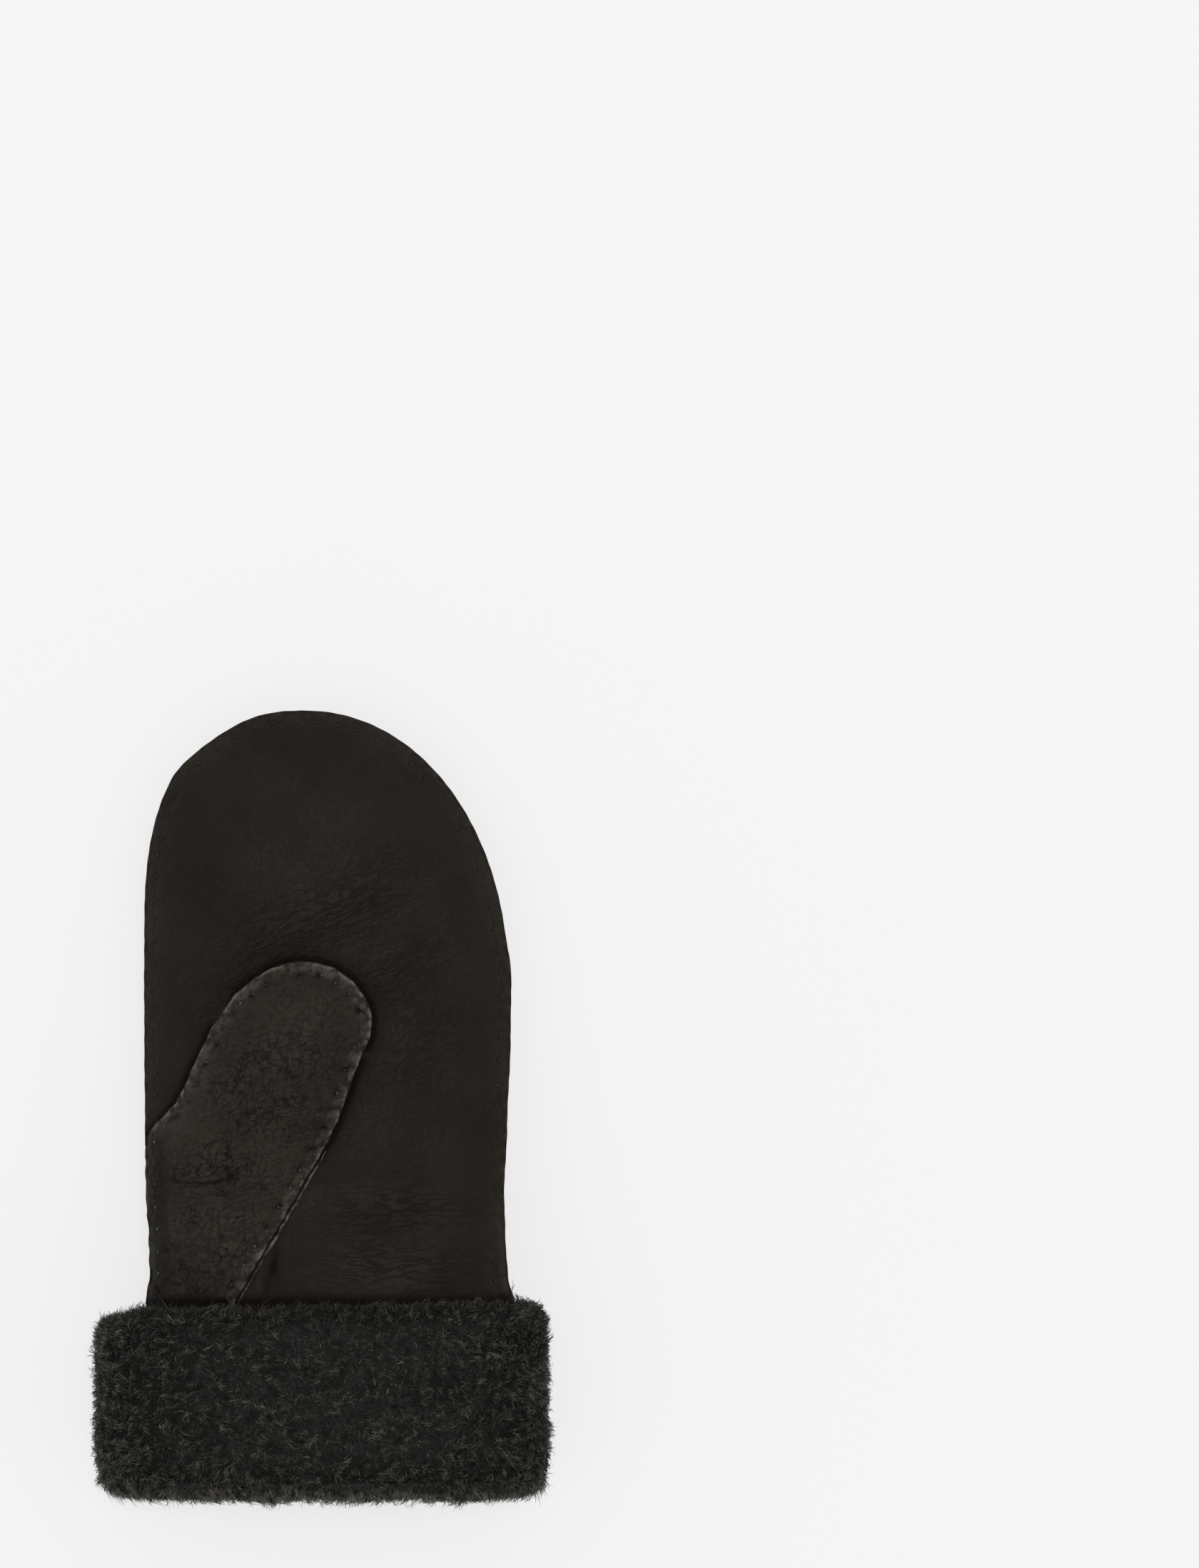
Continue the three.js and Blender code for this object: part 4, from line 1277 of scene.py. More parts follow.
@dataclass(frozen=True)
class CuffForm:
    """The cuff's sizes and closed curves, after the solids."""

    hand: HandForm
    width: float = 149.5
    offset: float = -1.75
    slant: float = 1.8
    over_wool: float = 11.5
    lining: float = 6.5
    lock: float = 2.6
    # from, to, share, y share below the top edge, slant
    section: tuple = (
        ("skin", "wool", 0.03, 0.012, 1.0), ("skin", "wool", 0.42, -0.022, 1.0),
        ("skin", "wool", 0.82, 0.012, 1.0), ("skin", "wool", 0.98, 0.09, 0.9),
        ("skin", "wool", 1.0, 0.28, 0.6), ("skin", "wool", 1.01, 0.5, 0.3),
        ("skin", "wool", 1.0, 0.72, 0.1), ("skin", "wool", 0.9, 0.86, 0.0),
        ("skin", "wool", 0.9, 0.94, 0.0), ("skin", "wool", 0.5, 0.99, 0.0),
        ("cavity", "skin", 0.5, 1.0, 0.0), ("cavity", "mouth", 0.6, 0.975, 0.0),
        ("cavity", "mouth", 1.0, 0.9, 0.0), ("cavity", "mouth", 1.0, 0.6, 0.0),
        ("cavity", "mouth", 1.0, 0.295, 0.0), ("cavity", "mouth", 0.0, 0.265, 0.0),
        ("cavity", "mouth", 0.0, 0.853, 0.0), ("skin", "wool", 0.03, 0.853, 0.0),
    )

    def loops(self) -> dict[str, Loop]:
        """Work out the closed curves.

        Returns:
            The outside of the wool and of the hide, the hide's inside, the lining's and the
            mouth's, each by its name.
        """
        hand = self.hand
        fold = np.array(hand.fold)
        middle = float(hand.edge(fold, Side.NEAR) + hand.edge(fold, Side.FAR)) / 2
        level = np.array(0.0)
        half = float(hand.edge(level, Side.FAR) - hand.edge(level, Side.NEAR)) / 2
        top = hand.arm_top + hand.leather + 3 * hand.gap
        gap, hide = hand.gap, hand.leather
        clear = hide + 4 * gap
        wool_half = self.width / 2 - self.lock
        high = top + hide + self.over_wool
        return {
            "wool": Loop(self.offset, wool_half, -hand.under_wool * 0.2, high, 2.8),
            "skin": Loop(middle, half + clear, hand.under_wool, top + hide, 3.1),
            "skinInside": Loop(middle, half + 3 * gap, hand.under_wool + hide, top, 3.1),
            "cavity": Loop(
                middle, half - hand.margin - 2.5 * hide, hand.arm_floor + clear, hand.arm_top - clear, 2.0
            ),
            "mouth": Loop(
                middle,
                half - hand.margin - 2 * hide - self.lining,
                hand.arm_floor + hide + self.lining,
                hand.arm_top - hide - self.lining,
                2.2,
            ),
        }

    def slant_at(self, x: np.ndarray) -> np.ndarray:
        """Return the height that the slanting top edge adds at x."""
        return self.slant * (x - self.offset) / (self.width / 2)

    def dip(self, x: np.ndarray) -> np.ndarray:
        """Return how far the soft top edge drops at its two ends, less again past the near one."""
        near = 3.6 * smooth(-x, 58.0, 68.0) - 4.2 * smooth(-x, 66.0, 76.0)
        return near + 3.4 * smooth(x, 56.0, 72.0)


def even_turns(loop: Loop, count: int) -> np.ndarray:
    """Find turns that space points evenly along a loop.

    Args:
        loop: The curve.
        count: How many points.

    Returns:
        Angles in radians, the last one short of a full turn.
    """
    turn = np.linspace(0, 2 * math.pi, 2 * FINE_TURNS - 1)
    points = loop.points(turn, np.zeros(1))
    run = run_length(points)
    return np.interp(np.linspace(0, run[-1], count, endpoint=False), run, turn)


@dataclass
class CuffHide(Piece):
    """The turned-up band of hide under the wool, with a soft, slightly wavy top edge."""

    form: CuffForm
    below: float = 5.6
    columns: int = 260
    wall_rings: int = 14
    bend_rings: int = 7

    def build(self, finish: "Finish") -> None:
        """Make the band: a rounded wall carried once round the cuff.

        Args:
            finish: The hide's finish.
        """
        hand, loops = self.hand, self.form.loops()
        turn = even_turns(loops["skin"], self.columns)
        bend = np.linspace(0, math.pi, self.bend_rings)
        down = np.linspace(1, 0, self.wall_rings + 1)[:-1]
        share = np.concatenate([0 * down, 0.5 - 0.5 * np.cos(bend), 0 * down + 1])
        level = np.concatenate([down, 0 * bend, down[::-1]])
        rise = np.concatenate([0 * down, np.sin(bend) * 0.5 * hand.leather, 0 * down])
        outer = loops["skin"].points(turn, np.zeros(1))[:, None]
        inner = loops["skinInside"].points(turn, np.zeros(1))[:, None]
        grid = outer + (inner - outer) * share[None, :, None]
        wave = 0.5 * np.sin(turn * 5 + 1) + 0.3 * np.sin(turn * 11)
        x = grid[..., 0]
        top = self.form.slant_at(x) - self.form.dip(x) - self.below + 0.4 * wave[:, None]
        low = -(hand.cuff - hand.roll - hand.gap)
        grid[..., 1] = top + (low - top) * level + rise
        closed = np.concatenate([grid, grid[:1]], axis=0)
        closed = np.concatenate([closed, closed[:, :1]], axis=1)
        below = closed[..., 1].max(axis=1, keepdims=True) - closed[..., 1]
        marks = blank_marks(closed) | {"rim": 1 - smooth(below, 0, 2.0)}
        skin = Skin.from_grid(closed, True, marks)
        self.dress(skin, "cuff_leather", "cuff_skin", finish)


def between(table: np.ndarray, v: np.ndarray, u: np.ndarray) -> np.ndarray:
    """Read a grid between its points, by straight lines both ways.

    Args:
        table: The grid, in rows and columns.
        v: Places down its rows.
        u: Places along its columns.

    Returns:
        A row of numbers for each place.
    """
    v0 = np.clip(v.astype(int), 0, table.shape[0] - 2)
    u0 = np.clip(u.astype(int), 0, table.shape[1] - 2)
    dv, du = (v - v0)[:, None], (u - u0)[:, None]
    low = table[v0, u0] * (1 - du) + table[v0, u0 + 1] * du
    high = table[v0 + 1, u0] * (1 - du) + table[v0 + 1, u0 + 1] * du
    return low * (1 - dv) + high * dv


@dataclass(frozen=True)
class Fibres:
    """One kind of wool fibre. Tips of a clump lean together."""

    count: int
    length: float
    width: float
    curl: float
    turns: float
    clump: float
    draw: float
    seed: int
    uneven: float = 0.35
    segments: int = 3

    def clumps(self, a: np.ndarray, d: np.ndarray) -> tuple[np.ndarray, np.ndarray, np.ndarray]:
        """Find the clump that each root belongs to: the nearest of one point in each cell.

        Args:
            a: Distance round the cuff of each root.
            d: Distance down the section of each root.

        Returns:
            Distance round and distance down of the clump's middle, and a number for the clump.
        """
        best = np.full(len(a), np.inf)
        clump_a, clump_d, clump = a, d, np.zeros(len(a), int)
        cell_a, cell_d = np.floor(a / self.clump), np.floor(d / self.clump)
        for step_a, step_d in product((-1, 0, 1), repeat=2):
            ia, ib = cell_a + step_a, cell_d + step_d
            ca = (ia + 0.1 + 0.8 * mixed_bits(ia, ib, self.seed)) * self.clump
            cd = (ib + 0.1 + 0.8 * mixed_bits(ia, ib, self.seed + 50)) * self.clump
            far = np.hypot(ca - a, cd - d)
            nearer = far < best
            best = np.where(nearer, far, best)
            clump_a, clump_d = np.where(nearer, ca, clump_a), np.where(nearer, cd, clump_d)
            clump = np.where(nearer, (ia * CLUMP_ROW + ib).astype(int), clump)
        return clump_a, clump_d, clump

    def heights(self) -> np.ndarray:
        """Return how far up the fibre each of its points is, from 0 to 1."""
        return np.linspace(0, 1, self.segments + 1)

    def ribbons(self, path: np.ndarray, random: np.random.Generator) -> tuple[np.ndarray, np.ndarray]:
        """Make a flat ribbon on each fibre's curve, which narrows to a point at its tip.

        Args:
            path: The points of each curve.
            random: Where the chances come from.

        Returns:
            The points of each ribbon, left and right in turn and then the tip, and all the faces.
        """
        tangent = unit(np.gradient(path, axis=1))
        spin = unit(random.standard_normal((self.count, 3)))
        flat = unit(np.cross(tangent, spin[:, None]))
        thick = self.width / 2 * (0.7 + 0.6 * random.random(self.count))
        half = thick[:, None] * (1 - self.heights()[None, :-1] ** 2 * 0.55)
        left = path[:, :-1] - flat[:, :-1] * half[..., None]
        right = path[:, :-1] + flat[:, :-1] * half[..., None]
        sides = np.stack([left, right], axis=2).reshape(self.count, -1, 3)
        points = np.concatenate([sides, path[:, -1:]], axis=1)
        points[..., 2] = np.maximum(points[..., 2], FIBRES_OFF_FLOOR)
        each = points.shape[1]
        pairs = np.arange(self.segments - 1) * 2
        quads = np.stack([pairs, pairs + 1, pairs + 3, pairs + 2], axis=1)
        tip = np.array([[each - 3, each - 2, each - 1, each - 1]])
        first = (np.arange(self.count) * each)[:, None, None]
        return points, (np.vstack([quads, tip])[None] + first).reshape(-1, 4)


@dataclass(frozen=True)
class Backing:
    """The wool's backing as grids, with rows down the cuff's section and columns round the cuff."""

    body: np.ndarray
    facing: np.ndarray
    around: np.ndarray
    down: np.ndarray
    shown: int


@dataclass(frozen=True)
class Roots:
    """Where the fibres of one kind stand on the backing.

    v and u are places down and along its grid, and own holds six numbers from 0 to 1 that a fibre
    shares with its clump.
    """

    v: np.ndarray
    u: np.ndarray
    round: np.ndarray
    down: np.ndarray
    point: np.ndarray
    facing: np.ndarray
    centre: np.ndarray
    own: list


@dataclass
class Fleece(Piece):
    """The deep wool of the cuff: a lumpy backing ring with fibres standing on it.

    Places down the section are given in rows of the cuff's section, each of so many steps.
    """

    form: CuffForm
    columns: int = 280
    steps: int = 6
    shown: int = 16
    sunk: float = 0.93
    pull_down: float = 0.088
    pull_up: float = 0.066
    dipped: float = 0.35
    roll_row: float = 8.6
    roll_end: float = 10.0
    roll_line: float = -57.0
    parting: tuple = (15.7, -24.0)
    lining_row: float = 11.4
    lining_share: float = 0.35
    root_depth: float = 0.4
    # height, width round the cuff, width down it, pattern
    lump_sizes: tuple = ((0.9, 14, 11, 31), (0.6, 6, 5.5, 32), (0.4, 2.8, 2.8, 33))
    # row of the section, lean down it
    leans: tuple = ((0, -0.95), (2, -0.1), (6, 0.25), (8, 0.9), (16, 0.6))
    # row of the section, share of the full length
    lengths: tuple = ((0, 0.85), (1, 0.95), (10.5, 0.95), (16, 0.8))
    # number, length, width, curl, turns, clump, how far it is drawn in, pattern, unevenness
    kinds: tuple = (
        Fibres(36000, 4.2, 0.25, 0.32, 0.8, 3.2, 0.6, 11),
        Fibres(36000, 3.6, 0.2, 0.24, 0.9, 2.2, 0.5, 12),
        Fibres(30000, 5.2, 0.27, 0.42, 0.8, 3.8, 0.85, 13),
        Fibres(12000, 6.2, 0.24, 0.25, 0.6, 2.4, 0.97, 14, 0.65),
    )

    def surface(self) -> tuple[np.ndarray, int]:
        """Lay out the backing: the cuff's section carried round, with a smooth curve down it.

        Returns:
            The grid in rows down the section and columns round the cuff from its underside, and
            how many of its rows show.
        """
        loops = self.form.loops()
        turn = even_turns(loops["wool"], self.columns) - math.pi / 2
        turn = np.append(turn, turn[0] + 2 * math.pi)
        rows = []
        for start, end, share, y, slant in self.form.section:
            at = np.array(y)
            pulled = y - self.pull_down * smooth(at, 0.86, 0.96) + self.pull_up * (1 - smooth(at, 0.02, 0.3))
            level = np.array([-float(pulled) * self.hand.cuff])
            low, high = loops[start].points(turn, level), loops[end].points(turn, level)
            sunk = share * self.sunk if start == "skin" and share > 0.1 else share
            row = low + (high - low) * sunk
            row[:, 1] += slant * self.form.slant_at(row[:, 0])
            dipped = float(1 - smooth(at, 0.0, self.dipped)) * (start == "skin")
            row[:, 1] -= self.form.dip(row[:, 0]) * dipped
            rows.append(row)
        section = np.array(rows)
        fine = spline(section[:self.shown].reshape(self.shown, -1), self.steps)
        fine = fine.reshape(-1, len(turn), 3)
        return np.concatenate([fine, section[self.shown:], section[:1]]), len(fine)

    def lumps(self, around: np.ndarray, down: np.ndarray) -> np.ndarray:
        """Return the height of the soft lumps: three sizes of noise, the coarse ones highest."""
        sizes = self.lump_sizes
        return sum(high * ripple(around / wide, down / deep, seed) for high, wide, deep, seed in sizes)

    def valleys(self, grid: np.ndarray) -> np.ndarray:
        """Find how far the wool's parting and the line over its roll sink in.

        Args:
            grid: Points of the backing.

        Returns:
            The sum of two bells, each across a wavering line and only where the wool faces up.
        """
        x, y, z = grid[..., 0], grid[..., 1], grid[..., 2]
        part_x, part_y = self.parting
        parting = bell(x - part_x - 1.2 * np.sin(y / 4), 1.5) * smooth(z, 40, 55) * bell(y - part_y, 17)
        across = y - self.roll_line + 0.8 * np.sin(x / 9) + 0.5 * np.sin(x / 4)
        outside = (np.arange(len(grid)) < self.roll_end * self.steps)[:, None]
        return parting + 1.3 * (bell(across, 1.6) * smooth(z, 20, 50)) * outside

    def build(self, finish: "Finish") -> None:
        """Make the backing and the kinds of fibres.

        Args:
            finish: The wool's finish.
        """
        grid, shown = self.surface()
        row = np.arange(len(grid))[:, None]
        step = np.linalg.norm(np.diff(grid, axis=0), axis=2).mean(axis=1)
        down = np.concatenate([[0.0], np.cumsum(step)])
        around = run_length(grid[len(grid) // 4])
        facing = unit(np.cross(np.gradient(grid, axis=1), np.gradient(grid, axis=0)))
        facing[:, -1] = facing[:, 0] = unit(facing[:, 0] + facing[:, -1])
        wide, deep = np.meshgrid(around, down)
        seam = smooth(np.minimum(wide, around[-1] - wide), 0, 12)
        lump = (self.lumps(wide, deep) * seam - self.valleys(grid)) * (row < shown)
        body = grid + facing * (lump * smooth(row, 0, 4))[..., None]
        body[..., 2] = np.maximum(body[..., 2], OFF_FLOOR)
        marks = {"tone": 0.25 + 0.1 * np.clip(lump, -2, 2), "tip": np.zeros(lump.shape)}
        self.dress(Skin.from_grid(body, True, marks), "cuff_wool_backing", "cuff_fleece", finish)
        backing = Backing(body, facing, around, down, shown)
        for number, kind in enumerate(self.kinds, 1):
            fibres = self.fibres(backing, kind)
            self.dress(fibres, f"cuff_wool_fibres_{number}", "cuff_fleece", finish)

    def roots(self, backing: Backing, kind: Fibres, random: np.random.Generator) -> Roots:
        """Choose where the fibres stand: evenly over the backing, fewer below and in the mouth.

        Args:
            backing: The backing.
            kind: The kind of fibre.
            random: Where the chances come from.

        Returns:
            The fibres' roots.
        """
        part = backing.body[:backing.shown]
        across = np.linalg.norm(np.diff(part, axis=1), axis=2)[:-1]
        length = np.linalg.norm(np.diff(part, axis=0), axis=2)[:, :-1]
        z = ((part[:-1, :-1] + part[1:, 1:]) / 2)[..., 2]
        weight = across * length * (0.35 + smooth(z, 0.5, 9.0) + 0.4 * smooth(z, 24.0, 50.0))
        inside = (np.arange(backing.shown - 1) > self.lining_row * self.steps)[:, None]
        weight = np.where(inside, weight * self.lining_share, weight)
        pick = random.choice(weight.size, kind.count, p=(weight / weight.sum()).ravel())
        row, column = np.unravel_index(pick, weight.shape)
        v = row + random.random(kind.count)
        u = column + random.random(kind.count)
        a = np.interp(u, np.arange(len(backing.around)), backing.around)
        d = np.interp(v, np.arange(len(backing.down)), backing.down)
        clump_a, clump_d, clump = kind.clumps(a, d)
        middle_u = np.interp(clump_a, backing.around, np.arange(len(backing.around)))
        middle_v = np.interp(clump_d, backing.down[:backing.shown], np.arange(backing.shown))
        return Roots(
            v, u, a, d,
            point=between(backing.body, v, u),
            facing=unit(between(backing.facing, v, u)),
            centre=between(backing.body, middle_v, middle_u),
            own=[mixed_bits(clump, clump * 0 + lane, kind.seed) for lane in range(6)],
        )

    def along_section(self, table: tuple, v: np.ndarray, shown: int) -> np.ndarray:
        """Return a table's numbers at places down the grid, by straight lines between its rows."""
        rows, numbers = np.array(table).T
        return np.interp(v, np.minimum(rows * self.steps, shown), numbers)

    def paths(
        self, backing: Backing, kind: Fibres, roots: Roots, random: np.random.Generator
    ) -> np.ndarray:
        """Run a curve up each fibre.

        A fibre stands along the backing's facing, leans with its clump, is drawn to the clump's
        middle as it rises, and turns in a loose spiral.

        Args:
            backing: The backing.
            kind: The kind of fibre.
            roots: Where the fibres stand.
            random: Where the chances come from.

        Returns:
            The points of each fibre's curve, the first a little under the backing.
        """
        own, count, a, d = roots.own, kind.count, roots.round, roots.down
        downward = unit(between(np.gradient(backing.body, axis=0), roots.v, roots.u))
        side = unit(np.cross(roots.facing, downward))
        share = self.along_section(self.leans, roots.v, backing.shown) + 0.7 * ripple(a / 12, d / 10, 61)
        lean_down = share + 0.8 * (own[0] - 0.5) + 0.3 * random.standard_normal(count)
        lean_side = 1.1 * ripple(a / 11, d / 12, 62) + 1.0 * (own[1] - 0.5)
        lean_side += 0.35 * random.standard_normal(count)
        lean = downward * lean_down[:, None] + side * lean_side[:, None]
        upright = 0.75 + 0.35 * own[2] + 0.12 * random.standard_normal(count)
        stand = roots.facing * upright[:, None]
        size = kind.length * (0.97 + kind.uneven * (own[3] - 1) + 0.18 * random.random(count))
        size = size * self.along_section(self.lengths, roots.v, backing.shown)

        t = kind.heights()
        rise = (np.sin(t * math.pi / 2) * 0.72)[None, :, None]
        over = (t**1.7 * 0.62)[None, :, None]
        draw = (kind.draw * t**1.4)[None, :, None]
        phase = 2 * math.pi * (own[4] + 0.22 * random.standard_normal(count))
        way = np.where(own[5] > 0.5, 1, -1)[:, None]
        angle = (phase[:, None] + 2 * math.pi * kind.turns * t[None, :] * way)[..., None]
        swing = kind.curl * (t**0.7)[None, :] * (0.6 + 0.8 * random.random(count))[:, None]
        other = unit(np.cross(side, unit(stand + 0.5 * lean)))
        path = roots.point[:, None] + size[:, None, None] * (stand[:, None] * rise + lean[:, None] * over)
        path += (roots.centre - roots.point)[:, None] * draw
        path += swing[..., None] * (np.cos(angle) * side[:, None] + np.sin(angle) * other[:, None])
        path[:, 0] = roots.point - self.root_depth * roots.facing
        return path

    def fibres(self, backing: Backing, kind: Fibres) -> Skin:
        """Grow one kind of fibre on the backing.

        Args:
            backing: The backing.
            kind: The kind of fibre.

        Returns:
            All of its ribbons. Their tones differ by clump and by fibre, and are palest on the
            roll and at the near end; painted shade darkens the fibres along the wool's top edge.
        """
        random = np.random.default_rng(kind.seed)
        roots = self.roots(backing, kind, random)
        points, faces = kind.ribbons(self.paths(backing, kind, roots, random), random)
        each = points.shape[1]
        band = bell(roots.v - self.roll_row * self.steps, 1.5 * self.steps)
        band = band + 0.7 * bell(roots.point[:, 0] + 74, 9)
        strands = random.random(kind.count) ** 2.3
        tone = np.clip(0.44 * roots.own[3] ** 1.7 + 0.95 * strands + 0.34 * band, 0, 1.25)
        # painted shade: fibres along the wool's top edge, where it meets the hide, are darkened
        tone *= 0.3 + 0.7 * smooth(roots.v, 0.6 * self.steps, 2.6 * self.steps)
        height = np.append(np.repeat(kind.heights()[:-1], 2), 1.0)
        marks = {"tone": np.repeat(tone, each), "tip": np.tile(height, kind.count)}
        return Skin(points.reshape(-1, 3), faces, marks)


# The finishes

Socket = bpy.types.NodeSocket
Value = Socket | float | tuple


class Graph:
    """Adds nodes to a tree and sets or links their sockets."""

    def __init__(self, tree: bpy.types.NodeTree) -> None:
        """Keep the tree that the nodes go in."""
        self.tree = tree

    def node(self, kind: str, inputs: dict | None = None, **settings) -> bpy.types.Node:
        """Add a node.

        Args:
            kind: Blender's name for it.
            inputs: Sockets by name or number, each with a value or another node's output.
            settings: The node's own properties.

        Returns:
            The node.
        """
        made = self.tree.nodes.new(kind)
        for name, value in settings.items():
            setattr(made, name, value)
        for name, value in (inputs or {}).items():
            if isinstance(value, bpy.types.NodeSocket):
                self.tree.links.new(value, made.inputs[name])
            else:
                made.inputs[name].default_value = value
        return made

    def math(self, operation: str, *values: Value) -> Socket:
        """Return the result of one sum on values or sockets."""
        return self.node("ShaderNodeMath", dict(enumerate(values)), operation=operation).outputs[0]

    def add(self, first: Value, second: Value) -> Socket:
        """Return the first and the second together."""
        return self.math("ADD", first, second)

    def less(self, first: Value, second: Value) -> Socket:
        """Return the first less the second."""
        return self.math("SUBTRACT", first, second)

    def times(self, first: Value, second: Value) -> Socket:
        """Return the first times the second."""
        return self.math("MULTIPLY", first, second)

    def ramp(self, value: Socket, low: float, high: float) -> Socket:
        """Return 0 at low and 1 at high, smooth between."""
        inputs = {"Value": value, "From Min": low, "From Max": high}
        return self.node("ShaderNodeMapRange", inputs, interpolation_type="SMOOTHSTEP").outputs["Result"]

    def place(self) -> Socket:
        """Return the piece's own coordinates."""
        return self.node("ShaderNodeTexCoord").outputs["Object"]

    def noise(self, place: Socket, scale: float, detail: float = 2.0) -> Socket:
        """Return soft noise round a half, with as many waves to a metre as scale says."""
        inputs = {"Vector": place, "Scale": scale, "Detail": detail}
        return self.node("ShaderNodeTexNoise", inputs).outputs["Fac"]

    def attribute(self, name: str) -> Socket:
        """Return the numbers that a piece's points carry under a name."""
        return self.node("ShaderNodeAttribute", attribute_name=name).outputs["Fac"]

    def blend(self, share: Value, low: Value, high: Value) -> Socket:
        """Return a colour between two."""
        return self.node("ShaderNodeMix", {0: share, 6: low, 7: high}, data_type="RGBA").outputs[2]

    def bump(self, height: Socket, strength: float, distance: float) -> Socket:
        """Return the facing that a relief of so many metres gives."""
        inputs = {"Height": height, "Strength": strength, "Distance": distance}
        return self.node("ShaderNodeBump", inputs).outputs[0]

    def close(self, inputs: dict) -> None:
        """End a material with one surface that has these inputs."""
        shader = self.node("ShaderNodeBsdfPrincipled", inputs)
        self.node("ShaderNodeOutputMaterial", {"Surface": shader.outputs[0]})


def colour(red: float, green: float, blue: float) -> tuple:
    """Return a linear colour with full cover."""
    return red, green, blue, 1.0


WHITE = colour(1.0, 1.0, 1.0)


class Groups:
    """The node groups that several finishes share."""

    @staticmethod
    def start(name: str, inputs: dict, outputs: dict) -> tuple[bpy.types.NodeTree, Graph, bpy.types.Node]:
        """Begin a group.

        Args:
            name: Its name.
            inputs: Kind of each input by name.
            outputs: Kind of each output by name.

        Returns:
            The group, its graph and the node that its inputs come from.
        """
        tree = bpy.data.node_groups.new(name, "ShaderNodeTree")
        for title, kind in inputs.items():
            tree.interface.new_socket(name=title, in_out="INPUT", socket_type=kind)
        for title, kind in outputs.items():
            tree.interface.new_socket(name=title, in_out="OUTPUT", socket_type=kind)
        graph = Graph(tree)
        return tree, graph, graph.node("NodeGroupInput")

    @staticmethod
    def hide_relief() -> bpy.types.NodeTree:
        """Build the hide's fine relief and its uneven tone.

        Returns:
            The group: its height is grain and waves less the wrinkles, in millimetres, and its
            tone is clouds and specks less the wrinkles, which paints shade into the wrinkle valleys.
        """
        name = "hide relief"
        if name in bpy.data.node_groups:
            return bpy.data.node_groups[name]
        kinds = {"Place": "NodeSocketVector"}
        kinds |= {title: "NodeSocketFloat" for title in ("Net", "Slant", "Level")}
        tree, g, given = Groups.start(name, kinds, {"Height": "NodeSocketFloat", "Tone": "NodeSocketFloat"})
        place = given.outputs["Place"]
        bend = g.node("ShaderNodeTexNoise", {"Vector": place, "Scale": 120.0, "Detail": 2.0})
        inputs = {0: bend.outputs["Color"], 1: (0.5, 0.5, 0.5)}
        centred = g.node("ShaderNodeVectorMath", inputs, operation="SUBTRACT")
        small = g.node("ShaderNodeVectorMath", {0: centred.outputs[0], "Scale": 0.004}, operation="SCALE")
        moved = g.node("ShaderNodeVectorMath", {0: place, 1: small.outputs[0]}).outputs[0]

        grain = g.node("ShaderNodeTexVoronoi", {"Vector": moved, "Scale": 950.0})
        fine = g.add(g.times(grain.outputs["Distance"], 0.06), g.times(g.noise(place, 1500.0), 0.05))
        inputs = {"Vector": moved, "Scale": 430.0}
        cells = g.node("ShaderNodeTexVoronoi", inputs, feature="DISTANCE_TO_EDGE").outputs["Distance"]
        net = g.less(1.0, g.ramp(cells, 0.0, 0.2))

        def pleats(turn: float, scale: tuple, width: float) -> Socket:
            """Draw valleys where noise, stretched along a direction, crosses its middle.

            Args:
                turn: The direction, in degrees from X.
                scale: Metres to one wave along it, across it and in height.
                width: How far from its middle the noise still counts as a valley.

            Returns:
                1 in the valleys and 0 off them.
            """
            inputs = {"Vector": moved, "Rotation": (0.0, 0.0, math.radians(turn)), "Scale": scale}
            stretched = g.node("ShaderNodeMapping", inputs, vector_type="TEXTURE").outputs[0]
            off = g.math("ABSOLUTE", g.less(g.noise(stretched, 1.0, 3.0), 0.5))
            return g.less(1.0, g.ramp(off, 0.0, width))

        tall = pleats(78.0, (0.005, 0.0024, 0.009), 0.07)
        flat = pleats(12.0, (0.0042, 0.002, 0.009), 0.06)
        nets = g.add(g.times(net, 0.4), g.times(g.add(tall, flat), 0.75))
        patchy = g.add(g.times(g.ramp(g.noise(place, 90.0, 1.0), 0.35, 0.65), 0.5), 0.5)
        lines = g.times(g.times(nets, patchy), given.outputs["Net"])
        slant = g.times(pleats(28.0, (0.0085, 0.0019, 0.009), 0.06), given.outputs["Slant"])
        level = g.times(pleats(2.0, (0.0095, 0.0018, 0.009), 0.06), given.outputs["Level"])
        wrinkles = g.add(g.times(lines, 0.33), g.times(g.add(slant, level), 0.2))
        cloud, speck = g.noise(place, 45.0, 4.0), g.noise(place, 650.0, 3.0)
        mottle = g.math("MULTIPLY_ADD", g.ramp(cloud, 0.25, 0.75), 0.55, 0.25)
        mottle = g.add(mottle, g.times(g.less(speck, 0.5), 0.7))
        lift = g.math("MULTIPLY_ADD", given.outputs["Net"], 0.36, 0.12)
        # painted shade: the tone is taken down along the wrinkle valleys
        tone = g.less(g.add(mottle, lift), g.times(wrinkles, 3.1))
        height = g.add(g.less(fine, wrinkles), g.times(g.noise(place, 75.0, 1.0), 0.9))
        g.node("NodeGroupOutput", {"Height": height, "Tone": g.math("MAXIMUM", tone, 0.0)})
        return tree


@dataclass(frozen=True)
class Finish:
    """A finish, with the name of a material slot that the script keeps but does not use."""

    name: str
    slot: str

    def material(self) -> bpy.types.Material:
        """Make the finish's material, or find it if it is made.

        Returns:
            The material.
        """
        if self.name not in bpy.data.materials:
            made = bpy.data.materials.new(self.name)
            made.use_nodes = True
            made.node_tree.nodes.clear()
            self.fill(Graph(made.node_tree))
        return bpy.data.materials[self.name]

    def fill(self, graph: Graph) -> None:
        """Add the material's nodes.

        Args:
            graph: The material's graph.
        """
        raise NotImplementedError


